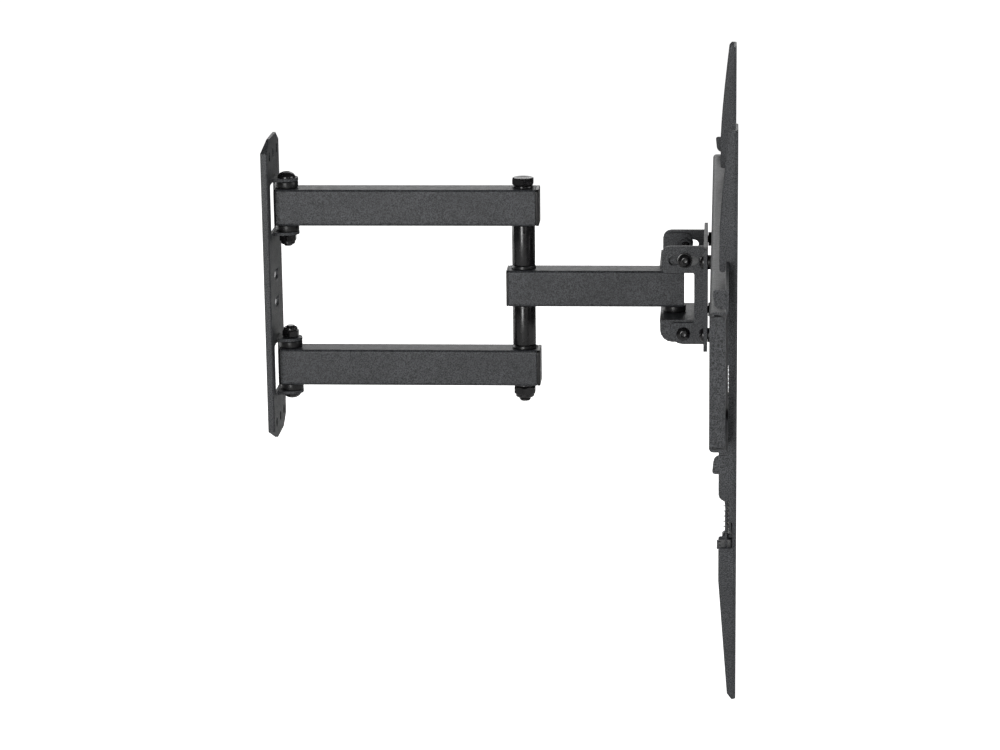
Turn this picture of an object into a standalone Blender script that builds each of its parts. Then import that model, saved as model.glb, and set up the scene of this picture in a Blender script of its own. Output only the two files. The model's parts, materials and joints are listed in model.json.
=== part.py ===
"""Full motion wall mount for a television, modelled in metres with +Z up.

The origin is the middle of the plane where the wall plate meets the wall. +X points from the wall to the
television, Y runs along the width of the screen, and everything stands at rest with the arms straight out.
Sections: driving dimensions, drawing helpers, materials, joints, then one function for each kind of piece.
"""

import math

import bmesh
import bpy
from mathutils import Vector

GAP = 0.0003

# Joint axes, as distances from the wall.
HINGE_X = 0.016
ELBOW_X = 0.210
WRIST_X = 0.3335
TILT_X = 0.3411
TILT_Z = -0.032

# Wall plate. Its rim is full height up to RIM_FULL and has faded out at RIM_GONE.
WALL_WIDTH = 0.072
WALL_HEIGHT = 0.250
WALL_DEPTH = 0.0055
WALL_SHEET = 0.0025
CORNER_Y, CORNER_Z = 0.018, 0.009
RIM_FULL, RIM_GONE = 0.116, 0.125
SCREW_HOLE_Z, SCREW_HOLE_STEP = 0.111, 0.0215
TAB_RADIUS = 0.0097
TAB_SHEET = 0.0025
WINDOW_WIDTH = 0.044

# Rectangular steel tubes.
TUBE_HEIGHT = 0.030
TUBE_DEPTH = 0.025
TUBE_WALL = 0.002
ARM_Z = 0.067
ARM_START = 0.008
ARM_END = 0.2206
FOREARM_START = 0.1977
FOREARM_END = 0.3413
CAP_FLANGE = 0.0013
ELBOW_CAP_FLANGE = 0.0025
PRONG_LENGTH = 0.008
PRONG_HALF = 0.0085
PRONG_SHEET = 0.0015

# Fasteners: M8 on the wall hinge and wrist, M10 on the elbow, M6 on the head.
M6, M8, M10 = 0.006, 0.008, 0.010
CLEARANCE = 0.0006
BUSHING_RADIUS = 0.0095
BUSHING_HEIGHT = 0.0054
POST_RADIUS = 0.0095
DISC_RADIUS = 0.0102
DISC_HEIGHT = 0.0027
WASHER_HEIGHT = 0.0015
ELBOW_WASHER_RADIUS = 0.0087
M8_HEAD, M8_SOCKET, M8_FLATS, M8_NUT = 0.015, 0.005, 0.013, 0.008
M10_FLATS, M10_HEAD, M10_NUT = 0.017, 0.0064, 0.0095
M6_HEAD, M6_SOCKET, M6_FLATS = 0.0112, 0.004, 0.010
HEAD_RISE = 0.336
BOLT_END = 0.003

# Swivel bracket, which turns about the wrist bolt.
SWIVEL_SHEET = 0.003
SWIVEL_HALF = 0.0317
SWIVEL_INSIDE = 0.0210
SWIVEL_BACK = 0.3220
SWIVEL_TAB_BACK = 0.3240
SWIVEL_FRONT = 0.3528
SWIVEL_RELIEF = 0.3505
SWIVEL_TAB_FRONT = 0.3470
SWIVEL_FOOT_FRONT = 0.3490
SWIVEL_TAB_TOP = 0.0385
SWIVEL_TAB_FOOT = -0.0395
WELD_NUT = 0.0045

# Tilt bracket: two C-shaped ears on a base plate.
EAR_INNER = 0.032
EAR_SHEET = 0.003
EAR_HALF = 0.0405
EAR_BACK = 0.3235
EAR_LOWER_BACK = 0.3305
EAR_COLUMN = 0.3499
EAR_OPEN_TOP, EAR_OPEN_FOOT = 0.0184, -0.0230
BASE_X = 0.3575
BASE_SHEET = 0.003
BASE_HALF_WIDTH = 0.056
BASE_HALF_HEIGHT = 0.043
LOCK_ANGLE = math.radians(1.0)
LOCK_REACH = 0.061
LOCK_SWING = math.radians(7.6)
LOCK_SLOT = 0.0078
LEVEL_SWING = math.radians(4.0)
LEVEL_Y, LEVEL_Z = 0.047, 0.030

# Screen plate: a hat channel.
PLATE_X = 0.3635
PLATE_SHEET = 0.002
PLATE_FRONT = 0.3774
PLATE_HALF_WIDTH = 0.327
CHANNEL_HALF = 0.052
LIP_HALF = 0.069
LIP_ROOT = 0.0543
SLOT_LENGTH, SLOT_HEIGHT, SLOT_Z = 0.060, 0.010, 0.030

# Hook rails.
RAIL_Y = 0.218
RAIL_HALF = 0.0165
RAIL_SHEET = 0.002
RAIL_FRONT = 0.384
RAIL_BACK = 0.3704
RAIL_EDGE = 0.3777
RAIL_TOP = 0.1682
RAIL_BOTTOM = -0.2733
RAIL_MIDDLE = -0.0525
HOOK_NOSE = 0.0617
RAIL_SHOULDER = 0.086
BAY_TOP, BAY_FOOT = -0.0725, -0.1152
CUT_TOP, CUT_FOOT, CUT_X = -0.1322, -0.1526, 0.3810
TAPER_TOP, TAPER_FOOT = -0.1784, -0.2686
VESA_STEP = 0.050

# Spring latch at the foot of each rail.
ROD_X = 0.3763
LUG_Z = -0.147
LUG_HALF = 0.006
LATCH_HALF = 0.010
LATCH_SHEET = 0.0015
LATCH_FOOT, LATCH_TOP = -0.155, -0.0620
LATCH_NOSE = 0.0733
LATCH_NOSE_BACK, LATCH_NOSE_FRONT = 0.3718, 0.3733
PULL_BACK, PULL_FRONT = 0.3692, 0.3798
CORD_HOLE_X, CORD_HOLE_Y = 0.3716, 0.0045
LATCH_WINDOW_FOOT, LATCH_WINDOW_TOP = -0.1505, -0.118
ROD_RADIUS, ROD_HEAD, ROD_TOP = 0.001, 0.002, 0.0195
SPRING_RADIUS = 0.0022
SPRING_WIRE = 0.0006
SPRING_TURNS = 6


# ---------------------------------------------------------------- drawing helpers


def arc(centre, radius, start, end, steps):
    """Points on a circle from the angle start to the angle end, both included."""
    angles = [start + (end - start) * k / steps for k in range(steps + 1)]
    return [(centre[0] + radius * math.cos(a), centre[1] + radius * math.sin(a)) for a in angles]


def circle(centre, radius, sides=16):
    return arc(centre, radius, 0, 2 * math.pi, sides)[:-1]


def hexagon(centre, across_flats):
    radius = across_flats / math.sqrt(3)
    return arc(centre, radius, math.pi / 6, math.pi / 6 + 2 * math.pi, 6)[:-1]


def slot(centre, length, width, along_v=False, steps=8):
    """An obround: a straight slot with round ends, length measured end to end."""
    reach = (length - width) / 2
    points = arc((reach, 0), width / 2, -math.pi / 2, math.pi / 2, steps)
    points += arc((-reach, 0), width / 2, math.pi / 2, 3 * math.pi / 2, steps)
    if along_v:
        points = [(-v, u) for u, v in points]
    return [(centre[0] + u, centre[1] + v) for u, v in points]


def curved_slot(centre, reach, start, end, width, steps=6):
    """A slot that follows a circle about centre, with round ends."""
    half = width / 2
    points = arc(centre, reach + half, start, end, steps)
    tip = (centre[0] + reach * math.cos(end), centre[1] + reach * math.sin(end))
    points += arc(tip, half, end, end + math.pi, steps)[1:-1]
    points += arc(centre, reach - half, end, start, steps)
    tip = (centre[0] + reach * math.cos(start), centre[1] + reach * math.sin(start))
    return points + arc(tip, half, start + math.pi, start + 2 * math.pi, steps)[1:-1]


def rounded(corners, steps=3):
    """A closed outline from (u, v) or (u, v, radius) corners; a radius turns its corner into an arc."""
    points = []
    for k, corner in enumerate(corners):
        here = Vector(corner[:2])
        radius = corner[2] if len(corner) > 2 else 0
        if not radius:
            points.append(tuple(here))
            continue
        to_last = (Vector(corners[k - 1][:2]) - here).normalized()
        to_next = (Vector(corners[(k + 1) % len(corners)][:2]) - here).normalized()
        half = to_last.angle(to_next) / 2
        centre = here + (to_last + to_next).normalized() * radius / math.sin(half)
        first = here + to_last * radius / math.tan(half) - centre
        turn = math.pi - 2 * half
        side = 1 if to_last.cross(to_next) < 0 else -1
        begin = math.atan2(first.y, first.x)
        points += arc(centre, radius, begin, begin + side * turn, steps)
    return points


def box_outline(low, high, radius=0, steps=2):
    corners = [(low[0], low[1]), (high[0], low[1]), (high[0], high[1]), (low[0], high[1])]
    return rounded([(*corner, radius) for corner in corners], steps)


def mirrored(outline):
    """The outline turned over about its first axis: v becomes -v."""
    return [(u, -v) for u, v in outline]


def add_prism(bm, axis, low, high, outline, *holes):
    """Adds a closed prism. Outlines are (Y, Z) along X, (X, Z) along Y and (X, Y) along Z."""
    place = {
        "X": lambda u, v: (low, u, v),
        "Y": lambda u, v: (u, low, v),
        "Z": lambda u, v: (u, v, low),
    }[axis]
    edges = []
    for ring in (outline, *holes):
        verts = [bm.verts.new(place(u, v)) for u, v in ring]
        edges += [bm.edges.new((verts[k - 1], verts[k])) for k in range(len(verts))]
    filled = bmesh.ops.triangle_fill(bm, use_beauty=True, use_dissolve=False, edges=edges)
    faces = [item for item in filled["geom"] if isinstance(item, bmesh.types.BMFace)]
    grown = bmesh.ops.extrude_face_region(bm, geom=faces, use_keep_orig=True)
    moved = [item for item in grown["geom"] if isinstance(item, bmesh.types.BMVert)]
    shift = Vector([high - low if name == axis else 0 for name in "XYZ"])
    bmesh.ops.translate(bm, vec=shift, verts=moved)


def add_turned(bm, axis, centre, profile, sides=16):
    """Adds a turned piece: profile is (radius, height) points, closed into a ring if it leaves a bore."""
    along = {"X": Vector((1, 0, 0)), "Y": Vector((0, 1, 0)), "Z": Vector((0, 0, 1))}[axis]
    across = Vector((0, 0, 1)) if axis != "Z" else Vector((1, 0, 0))
    start = Vector(centre)
    verts = [bm.verts.new(start + across * r + along * h) for r, h in profile]
    pairs = list(zip(verts, verts[1:]))
    if profile[0][0] > 0:
        pairs.append((verts[-1], verts[0]))
    edges = [bm.edges.new(pair) for pair in pairs]
    turn = {"cent": start, "axis": along, "angle": 2 * math.pi, "steps": sides, "use_merge": True}
    bmesh.ops.spin(bm, geom=verts + edges, **turn)
    bmesh.ops.remove_doubles(bm, verts=bm.verts, dist=1e-6)


def finished_mesh(name, bm, origin):
    bmesh.ops.recalc_face_normals(bm, faces=bm.faces)
    bmesh.ops.translate(bm, vec=-Vector(origin), verts=bm.verts)
    mesh = bpy.data.meshes.new(name)
    bm.to_mesh(mesh)
    bm.free()
    return mesh


def make(name, bm, material, joint, origin, smooth=False):
    """A named piece with its origin at a world point, parented to the empty of the joint that carries it."""
    piece = bpy.data.objects.new(name, finished_mesh(name, bm, origin))
    bpy.context.collection.objects.link(piece)
    piece.parent = joint
    piece.location = Vector(origin) - Vector(joint["place"])
    piece.data.materials.append(material)
    if smooth:
        piece.data.shade_smooth()
        piece.data.set_sharp_from_angle(angle=math.radians(35))
    return piece


def combine(piece, operation, bm):
    """Joins, cuts or trims the piece with a helper shape that is drawn in world coordinates."""
    origin = Vector(piece.parent["place"]) + piece.location
    name = f"{piece.name}_{operation.lower()}_{len(piece.modifiers)}"
    helper = bpy.data.objects.new(name, finished_mesh(name, bm, origin))
    bpy.context.collection.objects.link(helper)
    helper.parent = piece
    helper.hide_render = True
    helper.display_type = "WIRE"
    modifier = piece.modifiers.new(operation.title(), "BOOLEAN")
    modifier.operation = operation
    modifier.object = helper
    modifier.solver = "EXACT"
    # The shells of one piece may overlap, such as a tab and the nut on it, and all of them are kept.
    modifier.use_self = True


# ---------------------------------------------------------------- materials


def surface(name, colour, roughness, metallic):
    material = bpy.data.materials.new(name)
    material.use_nodes = True
    shader = material.node_tree.nodes["Principled BSDF"]
    shader.inputs["Base Color"].default_value = (*colour, 1)
    shader.inputs["Roughness"].default_value = roughness
    shader.inputs["Metallic"].default_value = metallic
    return material


def powder_coat():
    return surface("powder_coated_steel", (0.030, 0.030, 0.032), 0.55, 0.0)


def black_oxide():
    return surface("black_oxide_steel", (0.012, 0.012, 0.013), 0.32, 0.8)


def black_nylon():
    return surface("black_nylon", (0.010, 0.010, 0.010), 0.48, 0.0)


def zinc_steel():
    return surface("zinc_plated_steel", (0.45, 0.46, 0.48), 0.35, 1.0)


# ---------------------------------------------------------------- joints


def joint_empty(name, place, parent=None):
    """An empty on a joint's axis; the pieces of the body that turns or slides there hang from it."""
    empty = bpy.data.objects.new(name, None)
    bpy.context.collection.objects.link(empty)
    empty["place"] = place
    empty.empty_display_size = 0.02
    empty.parent = parent
    empty.location = Vector(place) - Vector(parent["place"] if parent else (0, 0, 0))
    return empty


def joint_tree():
    """Every body of the mount, from the wall outwards, as a dictionary of empties."""
    joints = {"wall": joint_empty("wall_joint", (0, 0, 0))}
    joints["arms"] = joint_empty("wall_hinge_joint", (HINGE_X, 0, 0), joints["wall"])
    joints["forearm"] = joint_empty("elbow_joint", (ELBOW_X, 0, 0), joints["arms"])
    joints["swivel"] = joint_empty("wrist_joint", (WRIST_X, 0, 0), joints["forearm"])
    joints["tilt"] = joint_empty("tilt_joint", (TILT_X, 0, TILT_Z), joints["swivel"])
    joints["screen"] = joint_empty("level_joint", (BASE_X, 0, 0), joints["tilt"])
    for side, sign in (("left", -1), ("right", 1)):
        place = (RAIL_FRONT, sign * RAIL_Y, RAIL_MIDDLE)
        joints[f"rail_{side}"] = joint_empty(f"rail_{side}_joint", place, joints["screen"])
        place = (ROD_X, sign * RAIL_Y, LUG_Z)
        joints[f"latch_{side}"] = joint_empty(f"latch_{side}_joint", place, joints[f"rail_{side}"])
    return joints


# ---------------------------------------------------------------- wall plate and its hinges


def cut_corner_outline(inset):
    """The plate's outline in (Y, Z), with all eight sides moved inwards by inset."""
    side, end = WALL_WIDTH / 2, WALL_HEIGHT / 2
    slope = math.hypot(CORNER_Y, CORNER_Z)
    drop = CORNER_Z + inset * (slope - CORNER_Z) / CORNER_Y
    run = CORNER_Y + inset * (slope - CORNER_Y) / CORNER_Z
    quarter = [(side - inset, end - drop), (side - run, end - inset)]
    outline = quarter + [(-y, z) for y, z in reversed(quarter)]
    return outline + [(-y, -z) for y, z in outline]


def wall_plate(material, joint):
    """A pressed tray with cut corners, a rim that fades out at both ends, two windows and four hinge tabs."""
    half = WALL_WIDTH / 2
    back = WALL_DEPTH - WALL_SHEET
    bm = bmesh.new()
    add_prism(bm, "X", 0, WALL_DEPTH, cut_corner_outline(0))
    plate = make("wall_plate", bm, material, joint, (0, 0, 0))

    bm = bmesh.new()
    bent = [
        (-0.001, -half - 0.001), (WALL_DEPTH, -half, 0.002),
        (WALL_DEPTH, half, 0.002), (-0.001, half + 0.001),
    ]  # fmt: skip
    add_prism(bm, "Z", -WALL_HEIGHT, WALL_HEIGHT, rounded(bent))
    combine(plate, "INTERSECT", bm)

    bm = bmesh.new()
    add_prism(bm, "X", -0.01, back, cut_corner_outline(WALL_SHEET))
    combine(plate, "DIFFERENCE", bm)

    fade = (RIM_GONE - RIM_FULL) / back
    over = 0.001
    beyond = RIM_GONE + over * fade
    wedge = [(-over, RIM_FULL - over * fade), (back + over, beyond), (-over, beyond)]
    bm = bmesh.new()
    add_prism(bm, "Y", -half - 0.001, half + 0.001, wedge)
    add_prism(bm, "Y", -half - 0.001, half + 0.001, mirrored(wedge))
    combine(plate, "DIFFERENCE", bm)

    bm = bmesh.new()
    for level in (ARM_Z, -ARM_Z):
        window = TUBE_HEIGHT / 2 + BUSHING_HEIGHT
        low, high = (-WINDOW_WIDTH / 2, level - window), (WINDOW_WIDTH / 2, level + window)
        add_prism(bm, "X", -0.01, 0.02, box_outline(low, high, 0.002))
    for height in (SCREW_HOLE_Z, -SCREW_HOLE_Z):
        for offset in (-SCREW_HOLE_STEP, 0, SCREW_HOLE_STEP):
            add_prism(bm, "X", -0.01, 0.02, circle((offset, height), M8 / 2))
    add_prism(bm, "X", -0.01, 0.02, slot((0, 0.009), 0.020, 0.009))
    add_prism(bm, "X", -0.01, 0.02, slot((0, -0.014), 0.020, 0.009))
    combine(plate, "DIFFERENCE", bm)

    bm = bmesh.new()
    for level in hinge_tab_levels():
        tip = arc((HINGE_X, 0), TAB_RADIUS, -math.pi / 2, math.pi / 2, 10)
        foot = [(back + 0.0005, TAB_RADIUS + 0.002), (back + 0.0005, -TAB_RADIUS - 0.002)]
        hole = circle((HINGE_X, 0), (M8 + CLEARANCE) / 2)
        add_prism(bm, "Z", level, level + TAB_SHEET, tip + foot, hole)
    combine(plate, "UNION", bm)
    return plate


def hinge_tab_levels():
    """The lower faces of the four tabs."""
    reach = TUBE_HEIGHT / 2 + BUSHING_HEIGHT + 2 * GAP
    inner, outer = ARM_Z - reach - TAB_SHEET, ARM_Z + reach
    return [outer, inner, -inner - TAB_SHEET, -outer - TAB_SHEET]


def dome_bolt(name, axis, seat, direction, shank, length, head, material, joint, socket=0.0):
    """A dome-headed bolt. seat is the point under the head, and direction the way the head points."""
    tall = head * HEAD_RISE
    steps = 4
    angles = [math.pi / 2 * k / steps for k in range(steps + 1)]
    crown = [(head / 2 * math.sin(angle), tall * math.cos(angle)) for angle in angles]
    crown[0] = (0, tall)
    crown[-1] = (head / 2, 0)
    profile = [(r, direction * h) for r, h in crown]
    profile += [(shank / 2, 0), (shank / 2, -direction * length), (0, -direction * length)]
    bm = bmesh.new()
    add_turned(bm, axis, seat, profile)
    bolt = make(name, bm, material, joint, seat, smooth=True)
    if socket:
        index = "XYZ".index(axis)
        flat = [value for k, value in enumerate(seat) if k != index]
        ends = sorted((seat[index] + direction * tall * 0.35, seat[index] + direction * tall * 2))
        bm = bmesh.new()
        add_prism(bm, axis, *ends, hexagon(flat, socket))
        combine(bolt, "DIFFERENCE", bm)
    return bolt


def hex_bolt(name, seat, shank, length, head, head_height, material, joint):
    """A hexagon-headed bolt that points down from seat, the point under its head."""
    bm = bmesh.new()
    add_prism(bm, "Z", seat[2], seat[2] + head_height, hexagon(seat[:2], head))
    bolt = make(name, bm, material, joint, seat)
    bm = bmesh.new()
    add_turned(bm, "Z", seat, [(0, 0.001), (shank / 2, 0.001), (shank / 2, -length), (0, -length)])
    combine(bolt, "UNION", bm)
    return bolt


def hex_nut(name, centre, low, high, across, bore, material, joint):
    bm = bmesh.new()
    add_prism(bm, "Z", low, high, hexagon(centre, across), circle(centre, bore / 2))
    return make(name, bm, material, joint, (*centre, low))


def ring(name, axis, centre, low, high, outer, inner, material, joint):
    """A plain ring along an axis: a washer, a bushing, a sleeve or a spacer."""
    bm = bmesh.new()
    profile = [(inner, low), (outer, low), (outer, high), (inner, high)]
    add_turned(bm, axis, centre, profile)
    index = "XYZ".index(axis)
    origin = [value + (low if k == index else 0) for k, value in enumerate(centre)]
    return make(name, bm, material, joint, origin, smooth=True)


def wall_hinge(side, sign, steel, nylon, joints):
    """Bolt, nut and two bushings of one arm's hinge; the lower hinge is the upper one turned over."""
    reach = TUBE_HEIGHT / 2 + BUSHING_HEIGHT + 2 * GAP + TAB_SHEET + GAP
    seat = (HINGE_X, 0, sign * (ARM_Z + reach))
    length = 2 * reach + M8_NUT + BOLT_END / 2
    name = f"{side}_hinge_bolt"
    dome_bolt(name, "Z", seat, sign, M8, length, M8_HEAD, steel, joints["wall"], M8_SOCKET)
    ends = sorted((sign * (ARM_Z - reach), sign * (ARM_Z - reach - M8_NUT)))
    hex_nut(f"{side}_hinge_nut", (HINGE_X, 0), *ends, M8_FLATS, M8 + CLEARANCE, steel, joints["wall"])
    for place, way in (("top", 1), ("bottom", -1)):
        near = sign * ARM_Z + way * (TUBE_HEIGHT / 2 + GAP)
        ends = sorted((near, near + way * BUSHING_HEIGHT))
        name = f"{side}_hinge_bushing_{place}"
        bore = (M8 + CLEARANCE) / 2
        ring(name, "Z", (HINGE_X, 0, 0), *ends, BUSHING_RADIUS, bore, nylon, joints["wall"])


# ---------------------------------------------------------------- tubes, caps and the elbow


def tube(name, level, start, end, holes, material, joint):
    """A rectangular tube along X with round holes from top to bottom, given as (x, radius)."""
    outer = box_outline(
        (-TUBE_DEPTH / 2, level - TUBE_HEIGHT / 2), (TUBE_DEPTH / 2, level + TUBE_HEIGHT / 2), 0.0025, 3
    )
    inset_y, inset_z = TUBE_DEPTH / 2 - TUBE_WALL, TUBE_HEIGHT / 2 - TUBE_WALL
    inner = box_outline((-inset_y, level - inset_z), (inset_y, level + inset_z), 0.001, 2)
    bm = bmesh.new()
    add_prism(bm, "X", start, end, outer, inner)
    piece = make(name, bm, material, joint, (holes[0][0], 0, level))
    bm = bmesh.new()
    for x, radius in holes:
        add_prism(bm, "Z", level - TUBE_HEIGHT, level + TUBE_HEIGHT, circle((x, 0), radius))
    combine(piece, "DIFFERENCE", bm)
    return piece


def end_cap(name, x, way, level, material, joint, flange=CAP_FLANGE, flush=False):
    """A plastic cap for the tube end at x that faces way, held by two prongs inside the tube."""
    bm = bmesh.new()
    inset = TUBE_WALL + GAP if flush else 0
    half_y, half_z = TUBE_DEPTH / 2 - inset, TUBE_HEIGHT / 2 - inset
    near = x - way * (flange + GAP) if flush else x + way * GAP
    ends = sorted((near, near + way * flange))
    face = box_outline((-half_y, level - half_z), (half_y, level + half_z), 0.001 if flush else 0.0025, 4)
    add_prism(bm, "X", *ends, face)
    cap = make(name, bm, material, joint, (near, 0, level))
    bm = bmesh.new()
    outer = TUBE_DEPTH / 2 - TUBE_WALL - GAP
    span = sorted((near + way * 0.0005, near - way * PRONG_LENGTH))
    for side in (-1, 1):
        low, high = sorted((side * outer, side * (outer - PRONG_SHEET)))
        add_prism(bm, "X", *span, box_outline((low, level - PRONG_HALF), (high, level + PRONG_HALF)))
    combine(cap, "UNION", bm)
    return cap


def arms(steel, coat, nylon, joints):
    """The two parallel arm tubes with their caps and the crush sleeves on the wall hinge."""
    wall_hole = (HINGE_X, (M8 + CLEARANCE) / 2)
    elbow_hole = (ELBOW_X, (M10 + CLEARANCE) / 2)
    for side, level in (("upper", ARM_Z), ("lower", -ARM_Z)):
        tube(f"{side}_arm_tube", level, ARM_START, ARM_END, (wall_hole, elbow_hole), coat, joints["arms"])
        end_cap(f"{side}_arm_wall_cap", ARM_START, -1, level, nylon, joints["arms"])
        end_cap(f"{side}_arm_elbow_cap", ARM_END, 1, level, nylon, joints["arms"], ELBOW_CAP_FLANGE)
        reach = TUBE_HEIGHT / 2 - TUBE_WALL - GAP
        centre = (HINGE_X, 0, level)
        name = f"{side}_arm_crush_sleeve"
        ring(name, "Z", centre, -reach, reach, 0.0065, wall_hole[1], steel, joints["arms"])


def elbow(steel, nylon, joints):
    """One long bolt through both arms and the forearm, with posts and nylon discs between the tubes."""
    joint = joints["arms"]
    centre = (ELBOW_X, 0, 0)
    bore = (M10 + CLEARANCE) / 2
    top = ARM_Z + TUBE_HEIGHT / 2 + GAP
    outer = ELBOW_WASHER_RADIUS
    ring("elbow_washer_top", "Z", centre, top, top + WASHER_HEIGHT, outer, bore, steel, joint)
    ring("elbow_washer_bottom", "Z", centre, -top - WASHER_HEIGHT, -top, outer, bore, steel, joint)
    seat = top + WASHER_HEIGHT + GAP
    length = 2 * seat + M10_NUT + BOLT_END
    hex_bolt("elbow_bolt", (ELBOW_X, 0, seat), M10, length, M10_FLATS, M10_HEAD, steel, joint)
    hex_nut("elbow_nut", (ELBOW_X, 0), -seat - M10_NUT, -seat, M10_FLATS, M10 + CLEARANCE, steel, joint)
    low, high = TUBE_HEIGHT / 2 + GAP, ARM_Z - TUBE_HEIGHT / 2 - GAP
    split = low + DISC_HEIGHT
    ring("upper_elbow_disc", "Z", centre, low, split, DISC_RADIUS, bore, nylon, joint)
    ring("upper_elbow_post", "Z", centre, split + GAP, high, POST_RADIUS, bore, steel, joint)
    split = high - DISC_HEIGHT
    ring("lower_elbow_post", "Z", centre, -split + GAP, -low, POST_RADIUS, bore, steel, joint)
    ring("lower_elbow_disc", "Z", centre, -high, -split, DISC_RADIUS, bore, nylon, joint)


def forearm(steel, coat, nylon, joints):
    """The single tube between the elbow and the wrist, with a crush sleeve at each end."""
    joint = joints["forearm"]
    elbow_hole = (ELBOW_X, (M10 + CLEARANCE) / 2)
    wrist_hole = (WRIST_X, (M8 + CLEARANCE) / 2)
    tube("forearm_tube", 0, FOREARM_START, FOREARM_END, (elbow_hole, wrist_hole), coat, joint)
    end_cap("forearm_elbow_cap", FOREARM_START, -1, 0, nylon, joint)
    end_cap("forearm_wrist_cap", FOREARM_END, 1, 0, nylon, joint, flush=True)
    reach = TUBE_HEIGHT / 2 - TUBE_WALL - GAP
    for name, hole, outer in (
        ("forearm_elbow_sleeve", elbow_hole, 0.0075),
        ("forearm_wrist_sleeve", wrist_hole, 0.0058),
    ):
        ring(name, "Z", (hole[0], 0, 0), -reach, reach, outer, hole[1], steel, joint)


# ---------------------------------------------------------------- head: swivel and tilt brackets


def lock_place():
    """The lock bolt's (X, Z), on a circle about the tilt pivot."""
    return (TILT_X + LOCK_REACH * math.sin(LOCK_ANGLE), TILT_Z + LOCK_REACH * math.cos(LOCK_ANGLE))


def swivel_bracket(material, joint):
    """A bent C that straddles the forearm's end, with four side tabs and weld nuts for the tilt bolts."""
    bm = bmesh.new()
    nut_reach = SWIVEL_HALF - SWIVEL_SHEET
    web_half = nut_reach - GAP
    # Beside the bend the plates are cut back, so that the corners clear the base plate as the head tilts.
    near_side = [
        (SWIVEL_BACK, -SWIVEL_HALF), (SWIVEL_RELIEF, -SWIVEL_HALF),
        (SWIVEL_RELIEF, -web_half), (SWIVEL_FRONT, -web_half),
    ]  # fmt: skip
    plan = near_side + [(x, -y) for x, y in reversed(near_side)]
    hole = circle((WRIST_X, 0), (M8 + CLEARANCE) / 2)
    for low in (SWIVEL_INSIDE, -SWIVEL_INSIDE - SWIVEL_SHEET):
        add_prism(bm, "Z", low, low + SWIVEL_SHEET, plan, hole)
    for side in (-1, 1):
        ends = sorted((side * (nut_reach + 0.0002), side * (nut_reach - WELD_NUT)))
        for place in (lock_place(), (TILT_X, TILT_Z)):
            add_prism(bm, "Y", *ends, hexagon(place, M6_FLATS))
    bracket = make("swivel_bracket", bm, material, joint, (WRIST_X, 0, 0))

    bm = bmesh.new()
    reach = SWIVEL_INSIDE + 0.002
    web = (SWIVEL_FRONT - SWIVEL_SHEET, SWIVEL_FRONT - 0.0002)
    add_prism(bm, "X", *web, box_outline((-web_half, -reach), (web_half, reach)))
    root, top, foot = SWIVEL_INSIDE + 0.001, SWIVEL_TAB_TOP, SWIVEL_TAB_FOOT
    back, front = SWIVEL_TAB_BACK, SWIVEL_TAB_FRONT
    upper = rounded([(back, root), (front, root), (front, top, 0.005), (back, top, 0.007)], 4)
    back, front = SWIVEL_BACK + 0.0002, SWIVEL_FOOT_FRONT
    lower = rounded([(back, -root), (back, foot, 0.010), (front, foot, 0.007), (front, -root)], 4)
    for side in (-1, 1):
        ends = sorted((side * (SWIVEL_HALF - 0.0001), side * nut_reach))
        add_prism(bm, "Y", *ends, upper)
        add_prism(bm, "Y", *ends, lower)
    combine(bracket, "UNION", bm)

    bm = bmesh.new()
    for place in (lock_place(), (TILT_X, TILT_Z)):
        add_prism(bm, "Y", -0.05, 0.05, circle(place, (M6 + CLEARANCE) / 2, 12))
    combine(bracket, "DIFFERENCE", bm)
    return bracket


def wrist(steel, nylon, joints):
    """The wrist bolt with its nut, and the two bushings that keep the forearm off the bracket."""
    joint = joints["swivel"]
    outside = SWIVEL_INSIDE + SWIVEL_SHEET + GAP
    seat = (WRIST_X, 0, outside)
    length = 2 * outside + M8_NUT + BOLT_END / 2
    dome_bolt("wrist_bolt", "Z", seat, 1, M8, length, M8_HEAD, steel, joint, M8_SOCKET)
    ends = (-outside - M8_NUT, -outside)
    hex_nut("wrist_nut", (WRIST_X, 0), *ends, M8_FLATS, M8 + CLEARANCE, steel, joint)
    low, high = TUBE_HEIGHT / 2 + GAP, SWIVEL_INSIDE - GAP
    bore = (M8 + CLEARANCE) / 2
    centre = (WRIST_X, 0, 0)
    ring("wrist_bushing_top", "Z", centre, low, high, 0.0093, bore, nylon, joint)
    ring("wrist_bushing_bottom", "Z", centre, -high, -low, 0.0093, bore, nylon, joint)


def ear_outline():
    """The C of one ear in (X, Z), open towards the wall, with a shorter lower arm."""
    top, inside, under = EAR_HALF, EAR_OPEN_TOP, EAR_OPEN_FOOT
    foot = BASE_X + 0.001
    return rounded([
        (foot, -top), (foot, top), (EAR_BACK, top, 0.007), (EAR_BACK, inside, 0.004),
        (EAR_COLUMN, inside, 0.0015), (EAR_COLUMN, under, 0.0015), (EAR_LOWER_BACK, under, 0.0035),
        (EAR_LOWER_BACK, -top, 0.010),
    ], 4)  # fmt: skip


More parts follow.
